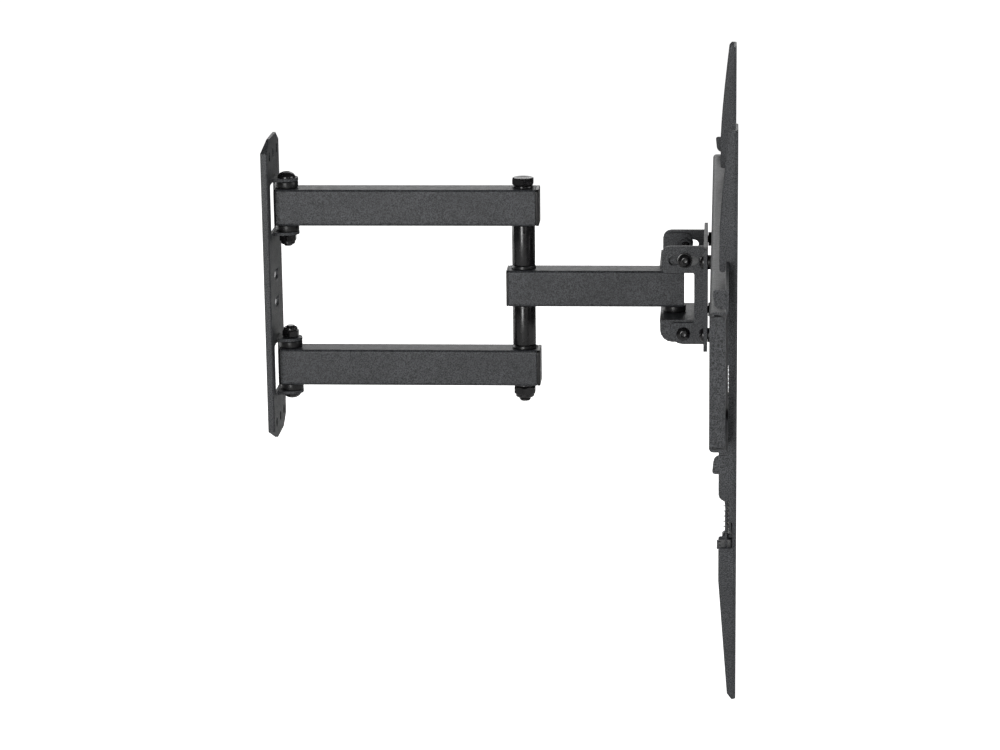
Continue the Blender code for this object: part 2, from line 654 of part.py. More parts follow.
def tilt_bracket(material, joint):
    """Base plate with a middle window and four levelling slots, and two ears with tilt slots."""
    bm = bmesh.new()
    outline = box_outline((-BASE_HALF_WIDTH, -BASE_HALF_HEIGHT), (BASE_HALF_WIDTH, BASE_HALF_HEIGHT), 0.005)
    window = box_outline((-0.0292, -0.030), (0.0292, 0.030), 0.003)
    reach = math.hypot(LEVEL_Y, LEVEL_Z)
    slots = []
    for y, z in level_places():
        middle = math.atan2(z, y)
        slots.append(curved_slot((0, 0), reach, middle - LEVEL_SWING, middle + LEVEL_SWING, M6 + CLEARANCE))
    add_prism(bm, "X", BASE_X, BASE_X + BASE_SHEET, outline, window, *slots)
    bracket = make("tilt_bracket", bm, material, joint, (TILT_X, 0, TILT_Z))

    bm = bmesh.new()
    pivot = circle((TILT_X, TILT_Z), (M6 + CLEARANCE) / 2, 12)
    start, end = math.pi / 2 - LOCK_SWING, math.pi / 2 + LOCK_SWING
    track = curved_slot((TILT_X, TILT_Z), LOCK_REACH, start, end, LOCK_SLOT)
    for side in (-1, 1):
        ends = sorted((side * EAR_INNER, side * (EAR_INNER + EAR_SHEET)))
        add_prism(bm, "Y", *ends, ear_outline(), pivot, track)
    combine(bracket, "UNION", bm)
    return bracket


def level_places():
    return [(y, z) for y in (-LEVEL_Y, LEVEL_Y) for z in (LEVEL_Z, -LEVEL_Z)]


def tilt_bolts(steel, joints):
    """On each side, a lock bolt with a washer in the curved slot and a pivot bolt below it."""
    joint = joints["swivel"]
    face = EAR_INNER + EAR_SHEET + GAP
    for side, sign in (("left", -1), ("right", 1)):
        x, z = lock_place()
        ends = sorted((sign * face, sign * (face + WASHER_HEIGHT)))
        ring(
            f"tilt_lock_washer_{side}", "Y", (x, 0, z), *ends, 0.0062, (M6 + CLEARANCE) / 2, steel, joint
        )
        seat = (x, sign * (face + WASHER_HEIGHT + GAP), z)
        name = f"tilt_lock_bolt_{side}"
        dome_bolt(name, "Y", seat, sign, M6, 0.0145, 0.0105, steel, joint, M6_SOCKET)
        seat = (TILT_X, sign * face, TILT_Z)
        name = f"tilt_pivot_bolt_{side}"
        dome_bolt(name, "Y", seat, sign, M6, 0.0125, M6_HEAD, steel, joint, M6_SOCKET)


# ---------------------------------------------------------------- screen plate


def level_bolts(steel, nylon, joints):
    """Four bolts through the levelling slots, each with a spacer between the bracket and the plate."""
    names = ("left_top", "left_bottom", "right_top", "right_bottom")
    for name, (y, z) in zip(names, level_places()):
        seat = (BASE_X - GAP, y, z)
        bolt = f"level_bolt_{name}"
        dome_bolt(bolt, "X", seat, -1, M6, 0.0135, M6_HEAD, steel, joints["screen"], M6_SOCKET)
        low, high = BASE_X + BASE_SHEET + GAP, PLATE_X - GAP
        bore = (M6 + CLEARANCE) / 2
        ring(f"level_spacer_{name}", "X", (0, y, z), low, high, 0.0058, bore, nylon, joints["screen"])


def screen_plate(material, joint):
    """A long hat channel with closed ends, lips for the rails, welded nuts and lightening slots."""
    back, front, web = PLATE_X, PLATE_FRONT, PLATE_X + PLATE_SHEET
    lip = PLATE_FRONT - PLATE_SHEET
    outer, inner = CHANNEL_HALF, CHANNEL_HALF - PLATE_SHEET
    profile = [
        (back, -outer, 0.003), (back, outer, 0.003), (lip, outer, 0.001), (lip, LIP_HALF),
        (front, LIP_HALF), (front, inner, 0.003), (web, inner, 0.001), (web, -inner, 0.001),
        (front, -inner, 0.003), (front, -LIP_HALF), (lip, -LIP_HALF), (lip, -outer, 0.001),
    ]  # fmt: skip
    bm = bmesh.new()
    add_prism(bm, "Y", -PLATE_HALF_WIDTH, PLATE_HALF_WIDTH, rounded(profile, 3))
    plate = make("screen_plate", bm, material, joint, (BASE_X, 0, 0))

    bm = bmesh.new()
    for y, z in level_places():
        add_prism(bm, "X", web - 0.0005, web + 0.005, hexagon((y, z), M6_FLATS))
    for side in (-1, 1):
        edge = PLATE_HALF_WIDTH - 0.0002
        ends = sorted((side * edge, side * (edge - PLATE_SHEET)))
        closing = box_outline((back + 0.001, 0.0015 - inner), (front - 0.0022, inner - 0.0015), 0.003)
        add_prism(bm, "Y", *ends, closing)
        fold = rounded([
            (lip + 0.001, LIP_ROOT), (lip + 0.001, LIP_HALF - 0.0007),
            (back + 0.0022, LIP_HALF - 0.0007, 0.002), (back + 0.0037, LIP_ROOT, 0.005),
        ])  # fmt: skip
        add_prism(bm, "Y", *ends, fold)
        add_prism(bm, "Y", *ends, mirrored(fold))
    combine(plate, "UNION", bm)

    bm = bmesh.new()
    for y, z in level_places():
        add_prism(bm, "X", back - 0.01, front + 0.01, circle((y, z), (M6 + CLEARANCE) / 2, 12))
    for y in (-0.27, -0.18, -0.09, 0.09, 0.18, 0.27):
        for z in (-SLOT_Z, SLOT_Z):
            add_prism(bm, "X", back - 0.01, front + 0.01, slot((y, z), SLOT_LENGTH, SLOT_HEIGHT))
        low, high = (y - SLOT_LENGTH / 2, -0.014), (y + SLOT_LENGTH / 2, 0.014)
        add_prism(bm, "X", back - 0.01, front + 0.01, box_outline(low, high, 0.005, 5))
    combine(plate, "DIFFERENCE", bm)
    return plate


# ---------------------------------------------------------------- hook rails and latches


def rail_outline():
    """A flange's outline in (X, Z): taper, hook over the upper lip, latch bay, foot and taper again."""
    beyond = RAIL_FRONT + 0.002
    steps = 6
    depth = RAIL_EDGE - RAIL_BACK
    shoulder, tip = RAIL_SHOULDER, RAIL_TOP - 0.0025
    rise = [k / steps for k in range(steps, -1, -1)]
    taper = [(RAIL_BACK + depth * t**1.3, shoulder + (tip - shoulder) * t) for t in rise]
    notch_back = PLATE_FRONT - PLATE_SHEET - 0.0005
    bay = RAIL_EDGE + 0.0007
    return rounded([
        (beyond, RAIL_TOP), (RAIL_EDGE + 0.002, RAIL_TOP), *taper,
        (RAIL_BACK, HOOK_NOSE, 0.002), (notch_back, HOOK_NOSE, 0.0015), (notch_back, LIP_HALF + GAP),
        (RAIL_EDGE, LIP_HALF + GAP), (RAIL_EDGE, BAY_TOP), (RAIL_BACK, BAY_TOP, 0.002),
        (RAIL_BACK, BAY_FOOT, 0.005), (bay, BAY_FOOT), (bay, CUT_TOP),
        (CUT_X, CUT_TOP), (CUT_X, CUT_FOOT), (RAIL_BACK, CUT_FOOT, 0.0015), (RAIL_BACK, TAPER_TOP),
        (RAIL_EDGE - 0.0004, TAPER_FOOT), (RAIL_EDGE + 0.003, RAIL_BOTTOM), (beyond, RAIL_BOTTOM),
    ], 3)  # fmt: skip


def rail(side, sign, material, joints):
    """A U channel trimmed to the flange outline, slotted for the television's screws, with a spring lug."""
    y = sign * RAIL_Y
    half, inside = RAIL_HALF, RAIL_HALF - RAIL_SHEET
    channel = [
        (RAIL_BACK - 0.002, y - half), (RAIL_FRONT, y - half, 0.0025), (RAIL_FRONT, y + half, 0.0025),
        (RAIL_BACK - 0.002, y + half), (RAIL_BACK - 0.002, y + inside),
        (RAIL_FRONT - RAIL_SHEET, y + inside, 0.0008), (RAIL_FRONT - RAIL_SHEET, y - inside, 0.0008),
        (RAIL_BACK - 0.002, y - inside),
    ]  # fmt: skip
    bm = bmesh.new()
    add_prism(bm, "Z", RAIL_BOTTOM - 0.003, RAIL_TOP + 0.003, rounded(channel, 3))
    joint = joints[f"rail_{side}"]
    piece = make(f"rail_{side}", bm, material, joint, (RAIL_FRONT, y, RAIL_MIDDLE))

    bm = bmesh.new()
    add_prism(bm, "Y", y - 0.03, y + 0.03, rail_outline())
    combine(piece, "INTERSECT", bm)

    bm = bmesh.new()
    for step in (-4, -3, -2, -1, 1, 2, 3, 4):
        place = (y, RAIL_MIDDLE + step * VESA_STEP)
        add_prism(bm, "X", RAIL_FRONT - 0.004, RAIL_FRONT + 0.01, slot(place, 0.026, 0.0085, along_v=True))
    combine(piece, "DIFFERENCE", bm)

    bm = bmesh.new()
    lug = rounded([
        (RAIL_FRONT - 0.001, y - LUG_HALF), (RAIL_FRONT - 0.001, y + LUG_HALF),
        (ROD_X - 0.003, y + LUG_HALF, 0.002), (ROD_X - 0.003, y - LUG_HALF, 0.002),
    ])  # fmt: skip
    add_prism(bm, "Z", LUG_Z, LUG_Z + 0.0015, lug, circle((ROD_X, y), 0.0013, 12))
    combine(piece, "UNION", bm)
    return piece


def latch(side, sign, material, joints):
    """A sliding hook behind the lower lip, with a bay for its spring and a pull tab with cord holes."""
    y = sign * RAIL_Y
    back, front = ROD_X - LATCH_SHEET / 2, ROD_X + LATCH_SHEET / 2
    over, step = LATCH_FOOT + LATCH_SHEET, LATCH_SHEET
    hook = [
        (PULL_BACK, LATCH_FOOT), (PULL_FRONT, LATCH_FOOT), (PULL_FRONT, over), (front, over),
        (front, -LATCH_NOSE - GAP), (LATCH_NOSE_FRONT, -LATCH_NOSE - GAP), (LATCH_NOSE_FRONT, LATCH_TOP),
        (LATCH_NOSE_BACK, LATCH_TOP), (LATCH_NOSE_BACK, -LATCH_NOSE - GAP - step),
        (back, -LATCH_NOSE - GAP - step), (back, over), (PULL_BACK, over),
    ]  # fmt: skip
    bm = bmesh.new()
    add_prism(bm, "Y", y - LATCH_HALF, y + LATCH_HALF, hook)
    place = (ROD_X, y, LUG_Z)
    piece = make(f"latch_{side}", bm, material, joints[f"latch_{side}"], place)
    bm = bmesh.new()
    reach = LUG_HALF + 0.0008
    low, high = (y - reach, LATCH_WINDOW_FOOT), (y + reach, LATCH_WINDOW_TOP)
    add_prism(bm, "X", 0.36, 0.39, box_outline(low, high, 0.001))
    for offset in (-CORD_HOLE_Y, CORD_HOLE_Y):
        add_prism(bm, "Z", -0.16, -0.152, circle((CORD_HOLE_X, y + offset), 0.0012, 12))
    combine(piece, "DIFFERENCE", bm)
    return piece


def latch_rod(side, sign, material, joints):
    """The headed pin that guides the spring, held in the rail's lug."""
    place = (ROD_X, sign * RAIL_Y, LUG_Z)
    bm = bmesh.new()
    radius, head, foot = ROD_RADIUS, ROD_HEAD, -GAP - LATCH_SHEET
    profile = [(0, ROD_TOP), (radius, ROD_TOP), (radius, -GAP), (head, -GAP), (head, foot), (0, foot)]
    add_turned(bm, "Z", place, profile, 12)
    return make(f"latch_rod_{side}", bm, material, joints[f"rail_{side}"], place, smooth=True)


def latch_spring(side, sign, material, joints):
    """A compression spring: a helix of round wire between the lug and the top of the latch's bay."""
    low = LUG_Z + 0.0015 + GAP + SPRING_WIRE / 2
    high = LATCH_WINDOW_TOP - GAP - SPRING_WIRE / 2
    steps = 8 * SPRING_TURNS
    curve = bpy.data.curves.new(f"latch_spring_{side}", "CURVE")
    curve.dimensions = "3D"
    curve.bevel_depth = SPRING_WIRE / 2
    curve.bevel_resolution = 0
    curve.use_fill_caps = True
    curve.materials.append(material)
    wire = curve.splines.new("POLY")
    wire.points.add(steps)
    for k in range(steps + 1):
        turn = 2 * math.pi * SPRING_TURNS * k / steps
        height = (high - low) * k / steps
        x, y = SPRING_RADIUS * math.cos(turn), SPRING_RADIUS * math.sin(turn)
        wire.points[k].co = (x, y, height, 1)
    spring = bpy.data.objects.new(f"latch_spring_{side}", curve)
    bpy.context.collection.objects.link(spring)
    joint = joints[f"rail_{side}"]
    spring.parent = joint
    spring.location = Vector((ROD_X, sign * RAIL_Y, low)) - Vector(joint["place"])
    return spring


# ---------------------------------------------------------------- assembly


def build():
    for leftover in list(bpy.data.objects):
        bpy.data.objects.remove(leftover, do_unlink=True)
    coat, oxide, nylon, zinc = powder_coat(), black_oxide(), black_nylon(), zinc_steel()
    joints = joint_tree()
    wall_plate(coat, joints["wall"])
    wall_hinge("upper", 1, oxide, nylon, joints)
    wall_hinge("lower", -1, oxide, nylon, joints)
    arms(zinc, coat, nylon, joints)
    elbow(oxide, nylon, joints)
    forearm(zinc, coat, nylon, joints)
    swivel_bracket(coat, joints["swivel"])
    wrist(oxide, nylon, joints)
    tilt_bracket(coat, joints["tilt"])
    tilt_bolts(oxide, joints)
    screen_plate(coat, joints["screen"])
    level_bolts(oxide, nylon, joints)
    for side, sign in (("left", -1), ("right", 1)):
        rail(side, sign, coat, joints)
        latch(side, sign, coat, joints)
        latch_rod(side, sign, oxide, joints)
        latch_spring(side, sign, zinc, joints)


build()
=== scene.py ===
# %% [markdown]
# # A full motion television wall mount
# The real object is bent and welded steel sheet, three rectangular steel tubes, nylon bushings and black
# fasteners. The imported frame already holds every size, joint and hole. This lesson keeps those places and
# gives each piece the edges, sockets, threads, springs and finishes that a person would see on a bench.

import json
import math

import bmesh
import bpy
import numpy as np
from mathutils import Matrix, Vector


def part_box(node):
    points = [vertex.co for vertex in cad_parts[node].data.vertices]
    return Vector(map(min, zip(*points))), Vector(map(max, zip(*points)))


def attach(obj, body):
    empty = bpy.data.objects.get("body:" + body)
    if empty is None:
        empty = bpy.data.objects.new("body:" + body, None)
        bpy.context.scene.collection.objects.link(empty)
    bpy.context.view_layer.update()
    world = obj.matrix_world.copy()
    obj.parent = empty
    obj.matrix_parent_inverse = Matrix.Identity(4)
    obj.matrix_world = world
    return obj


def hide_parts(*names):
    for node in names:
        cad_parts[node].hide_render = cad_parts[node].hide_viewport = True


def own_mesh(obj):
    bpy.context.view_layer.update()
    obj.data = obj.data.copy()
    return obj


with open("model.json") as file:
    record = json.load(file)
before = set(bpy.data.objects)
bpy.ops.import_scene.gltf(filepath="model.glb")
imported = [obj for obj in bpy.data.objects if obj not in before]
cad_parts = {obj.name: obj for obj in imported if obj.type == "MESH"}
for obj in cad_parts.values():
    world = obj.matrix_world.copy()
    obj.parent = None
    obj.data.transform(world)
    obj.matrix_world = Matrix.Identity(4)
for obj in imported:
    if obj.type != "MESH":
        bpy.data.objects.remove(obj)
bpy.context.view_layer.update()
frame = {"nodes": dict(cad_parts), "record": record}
NODES = frame["nodes"]
BODY_OF = {n: body for body, members in frame["record"]["behaviour"]["bodies"].items() for n in members}
SLOT_OF = {part["node"]: part["material_slot"] for part in frame["record"]["subparts"]}
MM = 0.001


# %% [markdown]
# ## Colours and nodes
# Paint makers give colours as sRGB hex values, but the renderer adds light in linear numbers, so one
# function turns the first into the second. A second small function adds a node, sets it and links it, so
# that each finish below reads as a short list of steps.

# %% Hex colours and a helper for nodes


def linear(hex_colour):
    """sRGB channel c becomes c / 12.92 below 0.04045, and ((c + 0.055) / 1.055) to the power 2.4 above it."""
    c = np.array([int(hex_colour[k : k + 2], 16) for k in (1, 3, 5)]) / 255
    return (*np.where(c <= 0.04045, c / 12.92, ((c + 0.055) / 1.055) ** 2.4).tolist(), 1.0)


def add_node(tree, kind, inputs, output=0, **settings):
    """Adds a node, sets it, links it and returns one output. An input is a value or another node's output."""
    node = tree.nodes.new(kind)
    for name, value in settings.items():
        setattr(node, name, value)
    for name, value in inputs.items():
        if isinstance(value, bpy.types.NodeSocket):
            tree.links.new(value, node.inputs[name])
        else:
            node.inputs[name].default_value = value
    return node.outputs[output]


def new_material(name, **uniform):
    """A material with its Principled shader; uniform values are set on the shader's own sockets."""
    material = bpy.data.materials.new(name)
    material.use_nodes = True
    shader = material.node_tree.nodes["Principled BSDF"]
    for socket, value in uniform.items():
        shader.inputs[socket.replace("_", " ")].default_value = value
    return material, material.node_tree, shader


# Socket numbers of the node that mixes two colours.
FACTOR, FIRST, SECOND, MIXED = 0, 6, 7, 2
print("white is", linear("#ffffff"))


# %% [markdown]
# ## Powder-coated steel
# The tubes and all the sheet pieces are sprayed with dry black polyester powder and baked. The powder melts
# into a skin about 0.08 mm thick with a fine sandy grain. A smooth black would look like plastic, so the
# grain is a bump of two sizes of noise: grains of about 0.8 mm, and soft pooling of about 4 mm from the
# baking. The tops of the small grains are also painted a lighter grey, as a painted highlight. Real grains
# are nearer 0.2 mm, so the small noise is drawn about four times too coarse in order to show from far away.

# %% Powder-coated steel
GRAIN = 0.8 * MM
POOLING = 4.0 * MM
SHADING = 26 * MM
GRAIN_RELIEF, POOLING_RELIEF = 0.25 * MM, 0.3 * MM


def powder_coated_steel():
    """Baked polyester powder: satin, faintly mottled, with a painted highlight on the tops of its grains."""
    material, tree, shader = new_material("powder_coated_steel", IOR=1.5, Metallic=0.0)
    place = add_node(tree, "ShaderNodeTexCoord", {}, "Object")
    grain = add_node(tree, "ShaderNodeTexNoise", {"Vector": place, "Scale": 1 / GRAIN, "Detail": 3.0})
    pooling = add_node(tree, "ShaderNodeTexNoise", {"Vector": place, "Scale": 1 / POOLING})
    shading = add_node(tree, "ShaderNodeTexNoise", {"Vector": place, "Scale": 1 / SHADING})
    # The tops of the grains are painted lighter than the darker ground, as a painted highlight, and the tone
    # drifts slowly at random between them.
    painted_grain_highlight = add_node(tree, "ShaderNodeMapRange", {"Value": grain, "From Min": 0.38, "From Max": 0.62})
    # Painted highlight: the colour turns from dark ground to light grey where the grain's bump is highest.
    colours = {FACTOR: painted_grain_highlight, FIRST: linear("#161718"), SECOND: linear("#5e6064")}
    grain_with_painted_highlight = add_node(tree, "ShaderNodeMix", colours, MIXED, data_type="RGBA")
    limits = {"From Min": 0.35, "From Max": 0.65, "To Max": 0.3}
    drift = add_node(tree, "ShaderNodeMapRange", {"Value": shading, **limits})
    colours = {FACTOR: drift, FIRST: grain_with_painted_highlight, SECOND: linear("#2e3032")}
    tree.links.new(
        add_node(tree, "ShaderNodeMix", colours, MIXED, data_type="RGBA"), shader.inputs["Base Color"]
    )
    limits = {"From Min": 0.3, "From Max": 0.7, "To Min": 0.38, "To Max": 0.48}
    gloss = add_node(tree, "ShaderNodeMapRange", {"Value": pooling, **limits})
    tree.links.new(gloss, shader.inputs["Roughness"])
    fine = {"Strength": 0.8, "Distance": GRAIN_RELIEF, "Height": grain}
    soft = {"Strength": 0.25, "Distance": POOLING_RELIEF, "Height": pooling}
    soft["Normal"] = add_node(tree, "ShaderNodeBump", fine)
    tree.links.new(add_node(tree, "ShaderNodeBump", soft), shader.inputs["Normal"])
    return material


POWDER = powder_coated_steel()
print("powder grain", GRAIN / MM, "mm, pooling", POOLING / MM, "mm")


# %% [markdown]
# ## Black oxide steel
# Screws, nuts and the turned posts are dipped in hot salts that grow a film of magnetite, then oiled.
# Magnetite is not a metal to the eye: it is a black mineral under a film of oil, so highlights are small
# and white on near black. The film is too thin to hide the turning lines, about 0.1 mm apart, which are
# drawn 0.4 mm apart.

# %% Black oxide steel
OILED_PATCH = 3.0 * MM
TURNING_LINE = 0.4 * MM
TURNING_DEPTH = 0.05 * MM


def black_oxide_steel():
    """Oiled magnetite: near black, glossy, with uneven oil and faint tool marks."""
    material, tree, shader = new_material("black_oxide_steel", IOR=1.65, Metallic=0.0)
    place = add_node(tree, "ShaderNodeTexCoord", {}, "Object")
    oil = add_node(tree, "ShaderNodeTexNoise", {"Vector": place, "Scale": 1 / OILED_PATCH, "Detail": 3.0})
    marks = add_node(tree, "ShaderNodeTexNoise", {"Vector": place, "Scale": 1 / TURNING_LINE})
    # Where the oil has pooled the black looks wet; where it has dried it looks a little brown and dull.
    dried = add_node(tree, "ShaderNodeMapRange", {"Value": oil, "From Min": 0.35, "From Max": 0.7})
    colours = {FACTOR: dried, FIRST: linear("#0a0a0b"), SECOND: linear("#181618")}
    colour = add_node(tree, "ShaderNodeMix", colours, MIXED, data_type="RGBA")
    tree.links.new(colour, shader.inputs["Base Color"])
    limits = {"From Min": 0.3, "From Max": 0.7, "To Min": 0.16, "To Max": 0.30}
    gloss = add_node(tree, "ShaderNodeMapRange", {"Value": oil, **limits})
    tree.links.new(gloss, shader.inputs["Roughness"])
    lines = {"Strength": 0.12, "Distance": TURNING_DEPTH, "Height": marks}
    tree.links.new(add_node(tree, "ShaderNodeBump", lines), shader.inputs["Normal"])
    return material


OXIDE = black_oxide_steel()
print("black oxide tool marks", TURNING_LINE / MM, "mm")


# %% [markdown]
# ## Moulded nylon
# The bushings, the discs at the elbow and the tube caps are injection-moulded nylon, black right through.
# The mould is spark-eroded, which leaves pits of about 0.1 mm; here they are 0.35 mm so that they can be
# seen. Nylon is a little waxy, so it has broader highlights than the screws beside it.

# %% Moulded nylon
MOULD_PIT = 0.35 * MM
FLOW_MARK = 6.0 * MM
PIT_DEPTH = 0.05 * MM


def moulded_nylon():
    """Injection-moulded nylon 66 with carbon black: satin, with pits from the mould and soft flow marks."""
    material, tree, shader = new_material("moulded_nylon", IOR=1.53, Metallic=0.0)
    place = add_node(tree, "ShaderNodeTexCoord", {}, "Object")
    pits = add_node(tree, "ShaderNodeTexNoise", {"Vector": place, "Scale": 1 / MOULD_PIT})
    flow = add_node(tree, "ShaderNodeTexNoise", {"Vector": place, "Scale": 1 / FLOW_MARK})
    # Flow marks make the black drift slightly, and the pits break up the highlight.
    drift = add_node(tree, "ShaderNodeMapRange", {"Value": flow, "From Min": 0.3, "From Max": 0.7})
    colours = {FACTOR: drift, FIRST: linear("#121213"), SECOND: linear("#1c1c1d")}
    colour = add_node(tree, "ShaderNodeMix", colours, MIXED, data_type="RGBA")
    tree.links.new(colour, shader.inputs["Base Color"])
    limits = {"From Min": 0.3, "From Max": 0.7, "To Min": 0.28, "To Max": 0.40}
    gloss = add_node(tree, "ShaderNodeMapRange", {"Value": flow, **limits})
    tree.links.new(gloss, shader.inputs["Roughness"])
    relief = {"Strength": 0.2, "Distance": PIT_DEPTH, "Height": pits}
    tree.links.new(add_node(tree, "ShaderNodeBump", relief), shader.inputs["Normal"])
    return material


NYLON = moulded_nylon()
print("mould pits", MOULD_PIT / MM, "mm")


# %% [markdown]
# ## Zinc-plated steel
# The latch springs and the crush sleeves inside the tubes are plated with zinc and passivated. Zinc grows
# as small crystals and the passivation leaves faint blue and straw tints, so a plain grey metal would look
# wrong. The crystals are about 0.3 mm, which is drawn at its real size, and the tints drift over some 5 mm.

# %% Zinc-plated steel
CRYSTAL = 0.3 * MM
TINT = 5.0 * MM
CRYSTAL_RELIEF = 0.04 * MM


def zinc_plated_steel():
    """Bright passivated zinc: a metal with a fine crystal sparkle and a blue to straw tint."""
    material, tree, shader = new_material("zinc_plated_steel", Metallic=1.0)
    place = add_node(tree, "ShaderNodeTexCoord", {}, "Object")
    crystals = add_node(tree, "ShaderNodeTexNoise", {"Vector": place, "Scale": 1 / CRYSTAL})
    tint = add_node(tree, "ShaderNodeTexNoise", {"Vector": place, "Scale": 1 / TINT})
    # The passivation is a thin film, so its colour drifts from blue to straw; the crystals vary the gloss.
    film = add_node(tree, "ShaderNodeMapRange", {"Value": tint, "From Min": 0.35, "From Max": 0.65})
    colours = {FACTOR: film, FIRST: linear("#b9c0c8"), SECOND: linear("#cbc6b6")}
    colour = add_node(tree, "ShaderNodeMix", colours, MIXED, data_type="RGBA")
    tree.links.new(colour, shader.inputs["Base Color"])
    limits = {"From Min": 0.3, "From Max": 0.7, "To Min": 0.20, "To Max": 0.42}
    gloss = add_node(tree, "ShaderNodeMapRange", {"Value": crystals, **limits})
    tree.links.new(gloss, shader.inputs["Roughness"])
    relief = {"Strength": 0.15, "Distance": CRYSTAL_RELIEF, "Height": crystals}
    tree.links.new(add_node(tree, "ShaderNodeBump", relief), shader.inputs["Normal"])
    return material


ZINC = zinc_plated_steel()
FINISH = {"powder_coat": POWDER, "black_oxide": OXIDE, "nylon": NYLON, "zinc_steel": ZINC}
print("zinc crystals", CRYSTAL / MM, "mm")


# %% [markdown]
# ## From a grid of points to a piece
# Most pieces of a mount are surfaces that two numbers describe: one runs around the piece and one runs
# along its profile. If the points are worked out as one array, a single helper can join neighbours into
# four-sided faces, close the seam, and merge the rows that shrink to a point on an axis. A second helper
# hands the finished piece to the frame: it rides on its body, stands for its node and takes that node's
# finish.

# %% Grid helper and hand-over helper
MERGE_WITHIN, EMPTY_BELOW = 2e-6, 1e-6
EDGE_SEGMENTS = 2


def grid_mesh(name, points, closed_rows):
    """Joins points[row, column] to their neighbours; columns always close, and rows close for ring shapes."""
    rows, columns = points.shape[:2]
    index = np.arange(rows * columns).reshape(rows, columns)
    near = index if closed_rows else index[:-1]
    far = np.roll(index, -1, 0) if closed_rows else index[1:]
    faces = np.stack([near, np.roll(near, -1, 1), np.roll(far, -1, 1), far], -1).reshape(-1, 4)
    mesh = bpy.data.meshes.new(name)
    mesh.from_pydata(points.reshape(-1, 3).tolist(), [], faces.tolist())
    tidy_mesh(mesh)
    return mesh


def tidy_mesh(mesh, flat=0.0):
    """Merges doubles, drops empty faces and edges inside flat areas, and turns every face outwards."""
    bm = bmesh.new()
    bm.from_mesh(mesh)
    bmesh.ops.remove_doubles(bm, verts=bm.verts, dist=MERGE_WITHIN)
    bmesh.ops.dissolve_degenerate(bm, edges=bm.edges, dist=EMPTY_BELOW)
    if flat:
        bmesh.ops.dissolve_limit(bm, angle_limit=flat, verts=bm.verts, edges=bm.edges)
    bmesh.ops.recalc_face_normals(bm, faces=bm.faces)
    bm.to_mesh(mesh)
    bm.free()


def joined(name, *meshes):
    """One mesh that holds several closed shells."""
    bm = bmesh.new()
    for mesh in meshes:
        bm.from_mesh(mesh)
        bpy.data.meshes.remove(mesh)
    together = bpy.data.meshes.new(name)
    bm.to_mesh(together)
    bm.free()
    return together


def hand_over(mesh, node, smooth_below=32, edge=0.0):
    """Makes the mesh an object that stands for the node; edge is the width of a rounded edge, in metres."""
    piece = bpy.data.objects.new(f"{node}_piece", mesh)
    bpy.context.scene.collection.objects.link(piece)
    mesh.materials.clear()
    mesh.materials.append(FINISH[SLOT_OF[node]])
    mesh.shade_smooth()
    mesh.set_sharp_from_angle(angle=math.radians(smooth_below))
    if edge:
        bevel = piece.modifiers.new("Rounded edges", "BEVEL")
        bevel.width = edge
        bevel.segments = EDGE_SEGMENTS
        bevel.limit_method = "ANGLE"
        bevel.angle_limit = math.radians(smooth_below)
        bevel.miter_outer = "MITER_ARC"
        normals = piece.modifiers.new("Flat faces stay flat", "WEIGHTED_NORMAL")
        normals.keep_sharp = True
    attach(piece, BODY_OF[node])
    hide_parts(node)
    return piece


def box_of(node):
    """The node's lowest corner, highest corner and centre as numpy arrays."""
    low, high = (np.array(corner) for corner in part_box(node))
    return low, high, (low + high) / 2


print("helpers ready")


# %% [markdown]
# ## Sheet pieces
# The wall plate, the two head brackets, the screen plate, the hook rails and the latches are cut from sheet
# by a laser and bent. They have too many holes for a grid, so each is a welded copy of its node. A laser
# leaves sharp edges that powder then rounds over, to about a third of a millimetre, and that round is what
# catches the light along every edge. A bevel draws it, and weighted normals keep the wide faces flat.

# %% Sheet pieces from welded copies
POWDER_EDGE = 0.35 * MM
LATCH_EDGE = 0.2 * MM
FLAT_WITHIN = math.radians(0.3)


def sheet_piece(node, edge):
    """A copy of the node's mesh, welded, with its flat faces made whole before the edges are rounded."""
    mesh = NODES[node].data.copy()
    mesh.name = f"{node}_sheet"
    tidy_mesh(mesh, flat=FLAT_WITHIN)
    return hand_over(mesh, node, edge=edge)


for sheet_node in ("wall_plate", "swivel_bracket", "tilt_bracket", "screen_plate", "rail_left", "rail_right"):
    plate = sheet_piece(sheet_node, POWDER_EDGE)
    print(sheet_node, len(plate.data.polygons), "faces before rounding")
for sheet_node in ("latch_left", "latch_right"):
    sheet_piece(sheet_node, LATCH_EDGE)


# %% [markdown]
# ## Rectangular tubes
# A tube is a rounded rectangle carried along a straight path, outside and inside, with sawn ends that the
# powder has softened. It is one closed loop of rows: along the outside, over the sawn end, back along the
# inside and over the other end. Every row is the same outline, moved inwards by the depth that the row has
# in the wall.

# %% Tubes
TUBE_WALL = 2.0 * MM
TUBE_CORNER = 2.5 * MM
SAWN_EDGE, BORE_EDGE = 0.25 * MM, 0.12 * MM
CORNER_STEPS = 7


def rounded_rectangle(half_y, half_z, radius):
    """Corner centre plus radius times (cos a, sin a), where a runs through a quarter turn at each corner."""
    turn = np.linspace(0, math.pi / 2, CORNER_STEPS + 1)
    angle = (turn[None, :] + np.arange(4)[:, None] * math.pi / 2).ravel()
    sign_y = np.repeat([1, -1, -1, 1], CORNER_STEPS + 1)
    sign_z = np.repeat([1, 1, -1, -1], CORNER_STEPS + 1)
    y = sign_y * (half_y - radius) + radius * np.cos(angle)
    z = sign_z * (half_z - radius) + radius * np.sin(angle)
    return np.stack([y, z], -1)


def carried_along_x(name, rows, centre_y, centre_z, closed_rows):
    """Each row is (x, half width, half height, corner radius) of a rounded rectangle square to X."""
    loops = []
    for x, half_y, half_z, radius in rows:
        outline = rounded_rectangle(half_y, half_z, radius)
        loops.append(np.column_stack([np.full(len(outline), x), outline + (centre_y, centre_z)]))
    return grid_mesh(name, np.stack(loops), closed_rows)


